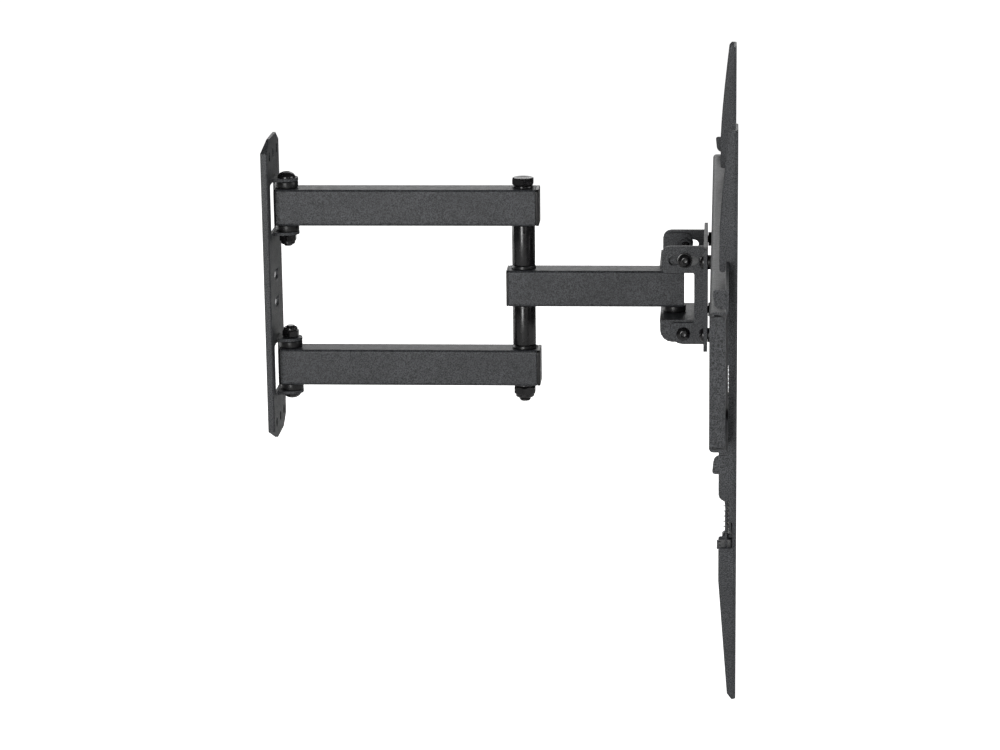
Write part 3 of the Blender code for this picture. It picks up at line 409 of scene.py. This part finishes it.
def turned_mesh(name, axis, centre, rows, closed_rows, thread=0.0, pitch=1.0, columns=48):
    """A turned piece about an axis through centre. Each row is (height, radius, flat): a point at angle a is
    at the smaller of radius and flat / cos(a folded into 60 degrees), so flat cuts six sides into a circle.
    A fourth value adds a thread, whose depth rises and falls once for each pitch of height plus one turn."""
    table = np.array([(*row, 0.0) if len(row) == 3 else row for row in rows], float)
    height, radius, flat, depth = (table[:, k : k + 1] for k in range(4))
    angle = np.arange(columns)[None, :] * 2 * math.pi / columns
    sixth = math.pi / 3
    hexagon = 1 / np.cos((angle + sixth / 2) % sixth - sixth / 2)
    reach = np.minimum(radius, flat * hexagon)
    phase = (height / pitch - angle / (2 * math.pi)) % 1
    reach = np.maximum(reach - depth * thread * (1 - np.abs(2 * phase - 1)), 0)
    first, second = reach * np.cos(angle), reach * np.sin(angle)
    along = np.broadcast_to(height, reach.shape)
    order = {"X": (along, first, second), "Y": (second, along, first), "Z": (first, second, along)}[axis]
    return grid_mesh(name, np.stack(order, -1) + np.asarray(centre), closed_rows)


def bored(mesh, *cutters):
    """Cuts closed meshes out of a mesh at once, so no helper is left in the scene."""
    piece = bpy.data.objects.new("work", mesh)
    bpy.context.scene.collection.objects.link(piece)
    helpers = []
    for cutter in cutters:
        helper = bpy.data.objects.new("cutter", cutter)
        bpy.context.scene.collection.objects.link(helper)
        cut = piece.modifiers.new("Bore", "BOOLEAN")
        cut.operation = "DIFFERENCE"
        cut.solver = "EXACT"
        cut.object = helper
        helpers.append(helper)
    graph = bpy.context.evaluated_depsgraph_get()
    result = bpy.data.meshes.new_from_object(piece.evaluated_get(graph))
    for item in (piece, *helpers):
        bpy.data.objects.remove(item)
    return result


# A metre is far outside every piece, so a row with this value is not cut by the flats, or by the circle.
NO_FLAT = NO_CIRCLE = 1.0


def bore_cutter(x, level, radius, half_height):
    """A closed upright cylinder around the bolt axis at x."""
    rows = [(-half_height, 0, NO_FLAT), (-half_height, radius, NO_FLAT)]
    rows += [(half_height, radius, NO_FLAT), (half_height, 0, NO_FLAT)]
    return turned_mesh("cutter", "Z", (x, 0, level), rows, False)


def tube_piece(node, bores):
    """Rows run over the outside, the far end, the inside and the near end; bores are (x, radius) pairs."""
    low, high, centre = box_of(node)
    half_y, half_z = (high[1] - low[1]) / 2, (high[2] - low[2]) / 2
    start, end = low[0], high[0]
    e, w = SAWN_EDGE, TUBE_WALL
    profile = [(start + e, 0), (end - e, 0), (end, e), (end, w - e), (end - e, w), (start + e, w)]
    profile += [(start, w - e), (start, e)]
    rows = [(x, half_y - inset, half_z - inset, TUBE_CORNER - inset) for x, inset in profile]
    mesh = carried_along_x(f"{node}_tube", rows, 0.0, centre[2], True)
    mesh = bored(mesh, *(bore_cutter(x, centre[2], radius, 2 * half_z) for x, radius in bores))
    return hand_over(mesh, node, edge=BORE_EDGE)


HINGE_X = box_of("upper_hinge_bolt")[2][0]
ELBOW_X = box_of("elbow_bolt")[2][0]
WRIST_X = box_of("wrist_bolt")[2][0]
BORE_M6, BORE_M8, BORE_M10 = 3.3 * MM, 4.3 * MM, 5.3 * MM
for side in ("upper", "lower"):
    tube_piece(f"{side}_arm_tube", [(HINGE_X, BORE_M8), (ELBOW_X, BORE_M10)])
tube_piece("forearm_tube", [(ELBOW_X, BORE_M10), (WRIST_X, BORE_M8)])
print("bolt axes at x =", [round(v / MM, 1) for v in (HINGE_X, ELBOW_X, WRIST_X)], "mm")


# %% [markdown]
# ## Tube caps
# Each open end of a tube is closed by a moulded cap: a thin flange as large as the tube, softly rounded at
# its rim, with two prongs that grip the inside. The flange is the same rounded rectangle, which shrinks to
# a point in the middle of the face. The cap at the wrist has no flange to show, because it sits flush
# inside the tube.

# %% Tube caps
CAP_ROUND, CAP_RIM_POINTS = 0.6 * MM, 5
FLANGE, ELBOW_FLANGE = 1.3 * MM, 2.5 * MM
FLUSH_CORNER = 1.0 * MM
PRONG_ROOT, PRONG_CORNER = 0.2 * MM, 0.3 * MM
PRONG_THICK = 1.5 * MM
PRONG_HALF = 8.5 * MM
PRONG_GAP = 0.3 * MM


def cap_piece(node, way, thick=FLANGE, flush=False):
    """The face is flat, its rim is a quarter round, and the prongs are two small rounded bars. The cap looks
    along +X where way is 1 and along -X where it is -1."""
    low, high, centre = box_of(node)
    half_y, half_z = (high[1] - low[1]) / 2, (high[2] - low[2]) / 2
    face = high[0] if way > 0 else low[0]
    back = face - way * thick
    corner = FLUSH_CORNER if flush else TUBE_CORNER
    turn = np.linspace(0, math.pi / 2, CAP_RIM_POINTS)
    rows = [(face, 0, 0, 0), (face, half_y - 2 * CAP_ROUND, half_z - 2 * CAP_ROUND, corner / 3)]
    for a in turn:
        inset = CAP_ROUND * (1 - math.sin(a))
        x = face - way * CAP_ROUND * (1 - math.cos(a))
        rows.append((x, half_y - inset, half_z - inset, corner - min(inset, corner / 2)))
    rows += [(back, half_y, half_z, corner), (back, 0, 0, 0)]
    parts = [carried_along_x(f"{node}_flange", rows, 0.0, centre[2], False)]
    outer = half_y if flush else half_y - TUBE_WALL - PRONG_GAP
    middle = outer - PRONG_THICK / 2
    tip = low[0] if way > 0 else high[0]
    root = back + way * PRONG_ROOT
    for side_y in (-middle, middle):
        bar = [(root, 0, 0, 0), (root, PRONG_THICK / 2, PRONG_HALF, PRONG_CORNER)]
        bar += [(tip, PRONG_THICK / 2, PRONG_HALF, PRONG_CORNER), (tip, 0, 0, 0)]
        parts.append(carried_along_x(f"{node}_prong", bar, side_y, centre[2], False))
    return hand_over(joined(f"{node}_cap", *parts), node, smooth_below=40)


for side in ("upper", "lower"):
    cap_piece(f"{side}_arm_wall_cap", -1)
    cap_piece(f"{side}_arm_elbow_cap", 1, ELBOW_FLANGE)
cap_piece("forearm_elbow_cap", -1)
cap_piece("forearm_wrist_cap", 1, flush=True)
print("six caps")


# %% [markdown]
# ## Rings, bushings, posts and sleeves
# Everything that a bolt passes through is a ring: washers, nylon bushings and discs, the two turned posts
# at the elbow, the spacers behind the screen plate and the sleeves inside the tubes. A ring is a closed
# profile turned about the bolt. Its edges get a small quarter round, and the discs at the elbow are wider
# at their lower end.

# %% Rings
RING_RIM_POINTS = 4
BUSHING_EDGE, POST_EDGE, DISC_EDGE, DISC_FLARE = 0.7 * MM, 0.6 * MM, 0.5 * MM, 0.7 * MM
SLEEVE_EDGE, ELBOW_WASHER_EDGE, SMALL_EDGE = 0.2 * MM, 0.35 * MM, 0.3 * MM


def ring_piece(node, axis, bore, edge, flare=0.0):
    """Closed profile: bore, lower face, rounded outer wall that is wider below by flare, upper face."""
    low, high, centre = box_of(node)
    k = "XYZ".index(axis)
    others = [i for i in range(3) if i != k]
    outer = max((high[i] - low[i]) / 2 for i in others)
    upper = outer - flare
    half = (high[k] - low[k]) / 2
    turn = np.linspace(0, math.pi / 2, RING_RIM_POINTS)
    rows = [(-half + edge / 2, bore, NO_FLAT), (-half, bore + edge / 2, NO_FLAT)]
    for a in turn:
        rows.append((-half + edge * (1 - math.cos(a)), outer - edge * (1 - math.sin(a)), NO_FLAT))
    for a in turn[::-1]:
        rows.append((half - edge * (1 - math.cos(a)), upper - edge * (1 - math.sin(a)), NO_FLAT))
    rows += [(half, bore + edge / 2, NO_FLAT), (half - edge / 2, bore, NO_FLAT)]
    return hand_over(turned_mesh(f"{node}_ring", axis, centre, rows, True), node, smooth_below=40)


for side in ("upper", "lower"):
    for place in ("top", "bottom"):
        ring_piece(f"{side}_hinge_bushing_{place}", "Z", BORE_M8, BUSHING_EDGE)
    ring_piece(f"{side}_elbow_post", "Z", BORE_M10, POST_EDGE)
    ring_piece(f"{side}_elbow_disc", "Z", BORE_M10, DISC_EDGE, flare=DISC_FLARE)
    ring_piece(f"{side}_arm_crush_sleeve", "Z", BORE_M8, SLEEVE_EDGE)
for place in ("top", "bottom"):
    ring_piece(f"wrist_bushing_{place}", "Z", BORE_M8, BUSHING_EDGE)
    ring_piece(f"elbow_washer_{place}", "Z", BORE_M10, ELBOW_WASHER_EDGE)
    for side in ("left", "right"):
        ring_piece(f"level_spacer_{side}_{place}", "X", BORE_M6, SMALL_EDGE)
for side in ("left", "right"):
    ring_piece(f"tilt_lock_washer_{side}", "Y", BORE_M6, SMALL_EDGE)
ring_piece("forearm_elbow_sleeve", "Z", BORE_M10, SLEEVE_EDGE)
ring_piece("forearm_wrist_sleeve", "Z", BORE_M8, SLEEVE_EDGE)
print("rings done")


# %% [markdown]
# ## Screws with a socket
# The hinge bolts and the head's screws are socket button screws. Their heads are full low domes with a
# six-sided socket, made by pressing a punch into the hot head. One turned surface can hold it all if each
# row may be cut by six flats: floor of the socket, six-sided wall, dome, underside, shank, and a thread
# whose depth follows height plus angle. Cutting the socket with a boolean would leave long thin faces.

# %% Socket button screws
ROWS_PER_PITCH = 6
HEAD_RISE = 0.336
SOCKET_SHARE, SOCKET_FLOOR, SOCKET_RIM = 0.36, 0.30, 1.25
PUNCH_POINT, PUNCH_ROUND = 0.25, 1.02
DOME_POINTS = 10
THREAD_SHARE = 0.55
POINT_LENGTH, POINT_TAPER = 0.8, 0.7
SOFT = 0.2 * MM
# Radius of the shank and pitch of the thread.
M6, M8, M10 = (3 * MM, 1.0 * MM), (4 * MM, 1.25 * MM), (5 * MM, 1.5 * MM)
M6_THREADED, M8_THREADED, M10_THREADED = 9 * MM, 14 * MM, 16 * MM


def thread_rows(start, end, radius, pitch):
    """Rows from start to end along the shank, six for each pitch, with a run-in and a bevelled point."""
    count = max(int(abs(end - start) / pitch * ROWS_PER_PITCH), 4)
    heights = np.linspace(start, end, count + 1)
    depth = np.ones(count + 1)
    depth[0] = 0.0
    tips = np.clip(1 - np.abs(heights - end) / (POINT_LENGTH * pitch), 0, 1)
    taper = POINT_TAPER * pitch
    return [(h, radius - t * taper, NO_FLAT, d * (1 - t)) for h, t, d in zip(heights, tips, depth)]


def button_screw(node, axis, direction, shank, pitch, threaded):
    """Rows from the socket's floor outwards and down to the bevelled point. The head looks to direction."""
    low, high, centre = box_of(node)
    k = "XYZ".index(axis)
    others = [i for i in range(3) if i != k]
    head = max((high[i] - low[i]) / 2 for i in others)
    tall = head * 2 * HEAD_RISE
    length = high[k] - low[k] - tall
    seat = high[k] - tall if direction > 0 else low[k] + tall
    centre[k] = seat
    socket, floor = head * SOCKET_SHARE, tall * SOCKET_FLOOR
    sweep = np.linspace(math.asin(SOCKET_RIM * SOCKET_SHARE), math.pi / 2, DOME_POINTS)
    rim = tall * math.cos(sweep[0])
    rows = [(floor - PUNCH_POINT * socket, 0, NO_FLAT), (floor, socket * PUNCH_ROUND, socket)]
    rows += [(floor, NO_CIRCLE, socket), (rim - SOFT, NO_CIRCLE, socket), (rim, NO_CIRCLE, socket + SOFT / 2)]
    rows += [(tall * math.cos(a), head * math.sin(a), NO_FLAT) for a in sweep]
    rows += [(-SOFT / 4, head - SOFT, NO_FLAT), (0, shank + SOFT, NO_FLAT), (-SOFT, shank, NO_FLAT)]
    rows += thread_rows(-(length - threaded), -length, shank, pitch)
    rows.append((-length, 0, NO_FLAT))
    signed = [(direction * row[0], *row[1:]) for row in rows]
    mesh = turned_mesh(f"{node}_screw", axis, centre, signed, False, THREAD_SHARE * pitch, pitch)
    return hand_over(mesh, node, smooth_below=38)


for side, sign in (("upper", 1), ("lower", -1)):
    button_screw(f"{side}_hinge_bolt", "Z", sign, *M8, M8_THREADED)
button_screw("wrist_bolt", "Z", 1, *M8, M8_THREADED)
for side, sign in (("left", -1), ("right", 1)):
    button_screw(f"tilt_lock_bolt_{side}", "Y", sign, *M6, M6_THREADED)
    button_screw(f"tilt_pivot_bolt_{side}", "Y", sign, *M6, M6_THREADED)
    for place in ("top", "bottom"):
        button_screw(f"level_bolt_{side}_{place}", "X", -1, *M6, M6_THREADED)
print("eleven socket screws")


# %% [markdown]
# ## The elbow bolt and the lock nuts
# The elbow turns on one long hexagon-headed bolt. Forged heads and nuts are turned to a cone at the corners
# before use, which leaves curved bright arcs on each flat. Those arcs are simply where the cone meets the
# six flats, so taking the smaller of the two radii draws them. Each nut locks with a nylon ring held in a
# round collar, which stands on the hexagon and closes in towards the thread.

# %% Hexagon bolt and lock nuts
CONE = 1 / math.tan(math.radians(30))
CONE_POINTS = 5
M8_ACROSS, M10_ACROSS = 13 * MM, 17 * MM

# The forged head: its height, the dish in its top, the washer face under it and the soft fillet to the shank.
# Widths are shares of half the distance across the flats.
FORGED_HEIGHT, DISH, WASHER_FACE, FILLET = 6.4 * MM, 0.25 * MM, 0.4 * MM, 0.3 * MM
DISH_FLOOR, DISH_RIM, FORGED_LEAD, WASHER_SHARE = 0.55, 0.62, 0.93, 0.94

# The lock nut: heights are shares of the whole nut, widths are shares of half the distance across the flats.
NUT_HEXAGON, NUT_COLLAR, NUT_CLOSING = 0.70, 0.86, 0.14
NUT_FOOT = COLLAR_SHARE = 0.90
NUT_LEAD = 0.94
COLLAR_POINTS = 6
COLLAR_STEP, COLLAR_LIP, RING_LIP, RING_DROP = 0.15 * MM, 1.1 * MM, 0.9 * MM, 0.3 * MM
NUT_CHAMFER, NUT_CLEARANCE = 0.5 * MM, 0.06 * MM


def cone_rows(start, end, flat, lead):
    """A hexagon side from height start to end, with a 30 degree cone of first radius lead at each end."""
    inward = 1 if end > start else -1
    corner = flat * 2 / math.sqrt(3)
    rise = (corner - lead) / CONE
    steps = np.linspace(0, 1, CONE_POINTS)
    rows = [(start + inward * rise * s, lead + (corner - lead) * s, flat) for s in steps]
    return rows + [(end - inward * rise * s, lead + (corner - lead) * s, flat) for s in steps[::-1]]


def hexagon_bolt(node, shank, pitch, threaded, across):
    """Rows from the dished top over the coned hexagon and its washer face, then down the shank."""
    low, high, centre = box_of(node)
    flat = across / 2
    tall = FORGED_HEIGHT
    seat = high[2] - tall
    length = seat - low[2]
    centre[2] = seat
    rows = [(tall - DISH, 0, NO_FLAT), (tall - DISH, flat * DISH_FLOOR, NO_FLAT)]
    rows += [(tall, flat * DISH_RIM, NO_FLAT)]
    rows += cone_rows(tall, WASHER_FACE, flat, flat * FORGED_LEAD)
    rows += [(WASHER_FACE, flat * WASHER_SHARE, NO_FLAT), (0, flat * FORGED_LEAD, NO_FLAT)]
    rows += [(0, shank + FILLET, NO_FLAT), (-FILLET, shank, NO_FLAT)]
    rows += thread_rows(-(length - threaded), -length, shank, pitch)
    rows.append((-length, 0, NO_FLAT))
    mesh = turned_mesh(f"{node}_forged", "Z", centre, rows, False, THREAD_SHARE * pitch, pitch)
    return hand_over(mesh, node, smooth_below=30)


def lock_nut(node, direction, shank, across):
    """The collar looks along direction and takes the last third of the nut's height."""
    low, high, centre = box_of(node)
    flat = across / 2
    height = high[2] - low[2]
    centre[2] = low[2] if direction > 0 else high[2]
    hexagon_top = height * NUT_HEXAGON
    collar = flat * COLLAR_SHARE
    bore = shank + NUT_CLEARANCE
    rows = [(NUT_CHAMFER, bore, NO_FLAT), (0, bore + NUT_CHAMFER, NO_FLAT), (0, flat * NUT_FOOT, NO_FLAT)]
    rows += cone_rows(0, hexagon_top, flat, flat * NUT_LEAD)
    rows += [(hexagon_top + COLLAR_STEP, collar, NO_FLAT), (height * NUT_COLLAR, collar, NO_FLAT)]
    drop, closing = height * NUT_CLOSING, collar - shank - COLLAR_LIP
    for a in np.linspace(0, math.pi / 2, COLLAR_POINTS):
        rows.append((height - drop * (1 - math.sin(a)), collar - closing * (1 - math.cos(a)), NO_FLAT))
    rows += [(height - RING_DROP, shank + RING_LIP, NO_FLAT), (height - NUT_CHAMFER, bore, NO_FLAT)]
    signed = [(direction * row[0], *row[1:]) for row in rows]
    return hand_over(turned_mesh(f"{node}_locking", "Z", centre, signed, True), node, smooth_below=30)


hexagon_bolt("elbow_bolt", *M10, M10_THREADED, M10_ACROSS)
lock_nut("elbow_nut", -1, M10[0], M10_ACROSS)
lock_nut("upper_hinge_nut", -1, M8[0], M8_ACROSS)
lock_nut("lower_hinge_nut", 1, M8[0], M8_ACROSS)
lock_nut("wrist_nut", -1, M8[0], M8_ACROSS)
print("hexagon bolt and four lock nuts")


# %% [markdown]
# ## Latch springs and guide pins
# At the foot of each rail a spring pushes the latch up behind the lower lip of the screen plate. A
# compression spring is round wire carried along a helix. Its end turns lie flat against each other, so the
# pitch is not constant: the height is built up from a small step in the end turns and a large one between
# them. The spring flattens as the latch is pulled down.

# %% Springs and pins
WIRE = 0.3 * MM
END_TURNS = 1.5
CLOSED_PITCH = 2.1
LIVE_TURNS = 6
AROUND_WIRE = 10
STEPS_PER_TURN = 32
PIN_RADIUS, PIN_HEAD_HEIGHT = 1.0 * MM, 1.5 * MM
TIP_SHOULDER, TIP_LENGTH = 0.3 * MM, 0.6 * MM
PIN_CHAMFER, PIN_DOME = 0.2 * MM, 0.5 * MM
TIP_FLAT, TIP_ROUND, PIN_FACE = 0.5, 0.9, 0.6
PIN_COLUMNS = 24


def spring_piece(node):
    """Centre line (R cos t, R sin t, h(t)); the wire's section lies in the plane of outward and up."""
    low, high, centre = box_of(node)
    coil = (high[1] - low[1]) / 2 - WIRE
    turns = LIVE_TURNS + 2 * END_TURNS
    t = np.linspace(0, turns, int(turns * STEPS_PER_TURN) + 1)
    rest = (high[2] - low[2]) - 2 * WIRE - 2 * END_TURNS * CLOSED_PITCH * WIRE
    live = np.clip((t - END_TURNS) / LIVE_TURNS, 0, 1)
    h = (t - live * LIVE_TURNS) * CLOSED_PITCH * WIRE + live * rest
    angle = t * 2 * math.pi
    around = np.arange(AROUND_WIRE) * 2 * math.pi / AROUND_WIRE
    shrink = np.ones(len(t))
    shrink[[0, -1]] = 0.0
    reach = coil + np.outer(shrink, WIRE * np.cos(around))
    x = centre[0] + reach * np.cos(angle)[:, None]
    y = centre[1] + reach * np.sin(angle)[:, None]
    z = low[2] + WIRE + h[:, None] + np.outer(shrink, WIRE * np.sin(around))
    rows = np.stack([x, y, z], -1)
    piece = hand_over(grid_mesh(f"{node}_coil", rows, False), node, smooth_below=60)
    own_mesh(piece)
    return piece


def pin_piece(node):
    """A thin headed pin: rounded tip, plain shank, flat head under the lug."""
    low, high, centre = box_of(node)
    shank, head = PIN_RADIUS, (high[1] - low[1]) / 2
    top, seat, foot = high[2], low[2] + PIN_HEAD_HEIGHT, low[2]
    rows = [(top, 0, NO_FLAT), (top, shank * TIP_FLAT, NO_FLAT)]
    rows += [(top - TIP_SHOULDER, shank * TIP_ROUND, NO_FLAT), (top - TIP_LENGTH, shank, NO_FLAT)]
    rows += [(seat, shank, NO_FLAT), (seat, head - PIN_CHAMFER, NO_FLAT), (seat - PIN_CHAMFER, head, NO_FLAT)]
    rows += [(foot + PIN_DOME, head, NO_FLAT), (foot, head * PIN_FACE, NO_FLAT), (foot, 0, NO_FLAT)]
    centre[2] = 0
    mesh = turned_mesh(f"{node}_pin", "Z", centre, rows, False, columns=PIN_COLUMNS)
    return hand_over(mesh, node, smooth_below=40)


for side in ("left", "right"):
    spring_piece(f"latch_spring_{side}")
    pin_piece(f"latch_rod_{side}")


# %% [markdown]
# ## Floor and light
# Black metal shows its shape by what it mirrors. In a studio the room itself is dark, so rounded edges and
# screws go nearly black, and a few large soft lamps draw everything else: a bank behind and above makes the
# tops pale, and a tall bank and a strip in front give the grey fronts and the streak on each post. One bank
# on the wall side and one on the screen side show the plates when the mount is seen from there. The floor
# and the room look white to the camera but send little light back, as when a white ground is laid in behind
# the object.

# %% Floor
FLOOR_Z = -0.47
FLOOR_REACH, FLOOR_POINTS = 14, 61
FLOOR_FLAT_RADIUS, FLOOR_RISE = 2.5, 60
PAINT_PATCH = 0.4


def pale_floor():
    """A wide sheet, flat near the object, that rises all round by the square of the distance outside that."""
    u = np.linspace(-1, 1, FLOOR_POINTS)
    x, y = np.meshgrid(u * FLOOR_REACH, u * FLOOR_REACH, indexing="xy")
    far = np.maximum(np.hypot(x, y) - FLOOR_FLAT_RADIUS, 0)
    points = np.stack([x, y, FLOOR_Z + far**2 / FLOOR_RISE], -1)
    index = np.arange(FLOOR_POINTS**2).reshape(FLOOR_POINTS, FLOOR_POINTS)
    faces = np.stack([index[:-1, :-1], index[:-1, 1:], index[1:, 1:], index[1:, :-1]], -1).reshape(-1, 4)
    mesh = bpy.data.meshes.new("pale_floor")
    mesh.from_pydata(points.reshape(-1, 3).tolist(), [], faces.tolist())
    mesh.shade_smooth()
    return mesh


floor_material, floor_tree, floor_shader = new_material("matt_white_paint", Roughness=0.9)
place = add_node(floor_tree, "ShaderNodeTexCoord", {}, "Object")
patches = add_node(floor_tree, "ShaderNodeTexNoise", {"Vector": place, "Scale": 1 / PAINT_PATCH})
tone = add_node(floor_tree, "ShaderNodeMapRange", {"Value": patches, "From Min": 0.3, "From Max": 0.7})
colours = {FACTOR: tone, FIRST: linear("#f6f6f5"), SECOND: linear("#f9f9f8")}
floor_colour = add_node(floor_tree, "ShaderNodeMix", colours, MIXED, data_type="RGBA")
floor_tree.links.new(floor_colour, floor_shader.inputs["Base Color"])
floor_shader.inputs["Emission Color"].default_value = linear("#ffffff")
floor_seen = add_node(floor_tree, "ShaderNodeLightPath", {}, "Is Camera Ray")
floor_tree.links.new(floor_seen, floor_shader.inputs["Emission Strength"])
floor = bpy.data.objects.new("pale_floor", pale_floor())
floor.data.materials.append(floor_material)
bpy.context.scene.collection.objects.link(floor)

# %% Room and lamps
ROOM_LIGHT = 0.06
room = bpy.data.worlds.new("studio_room")
room.use_nodes = True
seen = add_node(room.node_tree, "ShaderNodeLightPath", {}, "Is Camera Ray")
brightness = add_node(room.node_tree, "ShaderNodeMapRange", {"Value": seen, "To Min": ROOM_LIGHT})
background = room.node_tree.nodes["Background"]
background.inputs["Color"].default_value = linear("#ffffff")
room.node_tree.links.new(brightness, background.inputs["Strength"])
bpy.context.scene.world = room
bpy.context.scene.view_settings.view_transform = "Standard"
MIDDLE = Vector((0.19, 0.0, -0.05))


def soft_lamp(name, azimuth, elevation, distance, width, height, radiance):
    """A rectangular lamp that looks at the middle; its power is radiance times pi times its area."""
    lamp = bpy.data.lights.new(name, "AREA")
    lamp.shape = "RECTANGLE"
    lamp.size, lamp.size_y = width, height
    lamp.energy = radiance * math.pi * width * height
    turn, rise = math.radians(azimuth), math.radians(elevation)
    away = Vector((math.sin(turn) * math.cos(rise), -math.cos(turn) * math.cos(rise), math.sin(rise)))
    holder = bpy.data.objects.new(name, lamp)
    holder.location = MIDDLE + away * distance
    holder.rotation_euler = away.to_track_quat("Z", "Y").to_euler()
    holder.visible_camera = False
    bpy.context.scene.collection.objects.link(holder)


# Name, azimuth and elevation in degrees, distance, width, height, radiance.
soft_lamp("front_bank", -13, 10, 3.2, 0.7, 2.0, 9.0)
soft_lamp("front_right_strip", 28, 15, 2.6, 0.35, 1.6, 1.5)
soft_lamp("back_bank", 180, 24, 2.6, 1.5, 1.7, 1.3)
soft_lamp("wall_side_bank", 232, 12, 2.8, 1.6, 1.8, 3.0)
soft_lamp("screen_side_bank", 78, 14, 2.8, 1.4, 1.6, 2.6)
print("room and five lamps")


# %% [markdown]
# ## Camera
# The mount is seen from its side with a long lens, a little above and a few degrees round to the front of
# the screen plate. The distance sets how much smaller the far rail looks, and the lens then sets the size.

# %% Camera
AZIMUTH, ELEVATION, ROLL = (math.radians(angle) for angle in (4.07, 13.84, -0.72))
TARGET = Vector((0.1893, 0.0, -0.0756))
DISTANCE = 2.680
LENS, SENSOR_WIDTH = 116.6, 36
FARTHEST_SEEN = 100

back = Vector(
    (
        math.sin(AZIMUTH) * math.cos(ELEVATION),
        -math.cos(AZIMUTH) * math.cos(ELEVATION),
        math.sin(ELEVATION),
    )
)
right = Vector((math.cos(AZIMUTH), math.sin(AZIMUTH), 0))
up = back.cross(right)
level = math.cos(ROLL) * right + math.sin(ROLL) * up
upright = -math.sin(ROLL) * right + math.cos(ROLL) * up
camera = bpy.data.objects.new("camera", bpy.data.cameras.new("camera"))
camera.data.lens = LENS
camera.data.sensor_width = SENSOR_WIDTH
camera.data.clip_end = FARTHEST_SEEN
turned = Matrix((level, upright, back)).transposed().to_4x4()
camera.matrix_world = Matrix.Translation(TARGET + back * DISTANCE) @ turned
bpy.context.scene.collection.objects.link(camera)
bpy.context.scene.camera = camera
print("camera", [round(v, 3) for v in camera.matrix_world.translation])

# %% Nodes still shown take their finish
bpy.context.view_layer.update()
left_over = [n for n, o in NODES.items() if not o.hide_render]
for n in left_over:
    NODES[n].data.materials.clear()
    NODES[n].data.materials.append(FINISH[SLOT_OF[n]])
print("nodes shown as packed:", left_over)
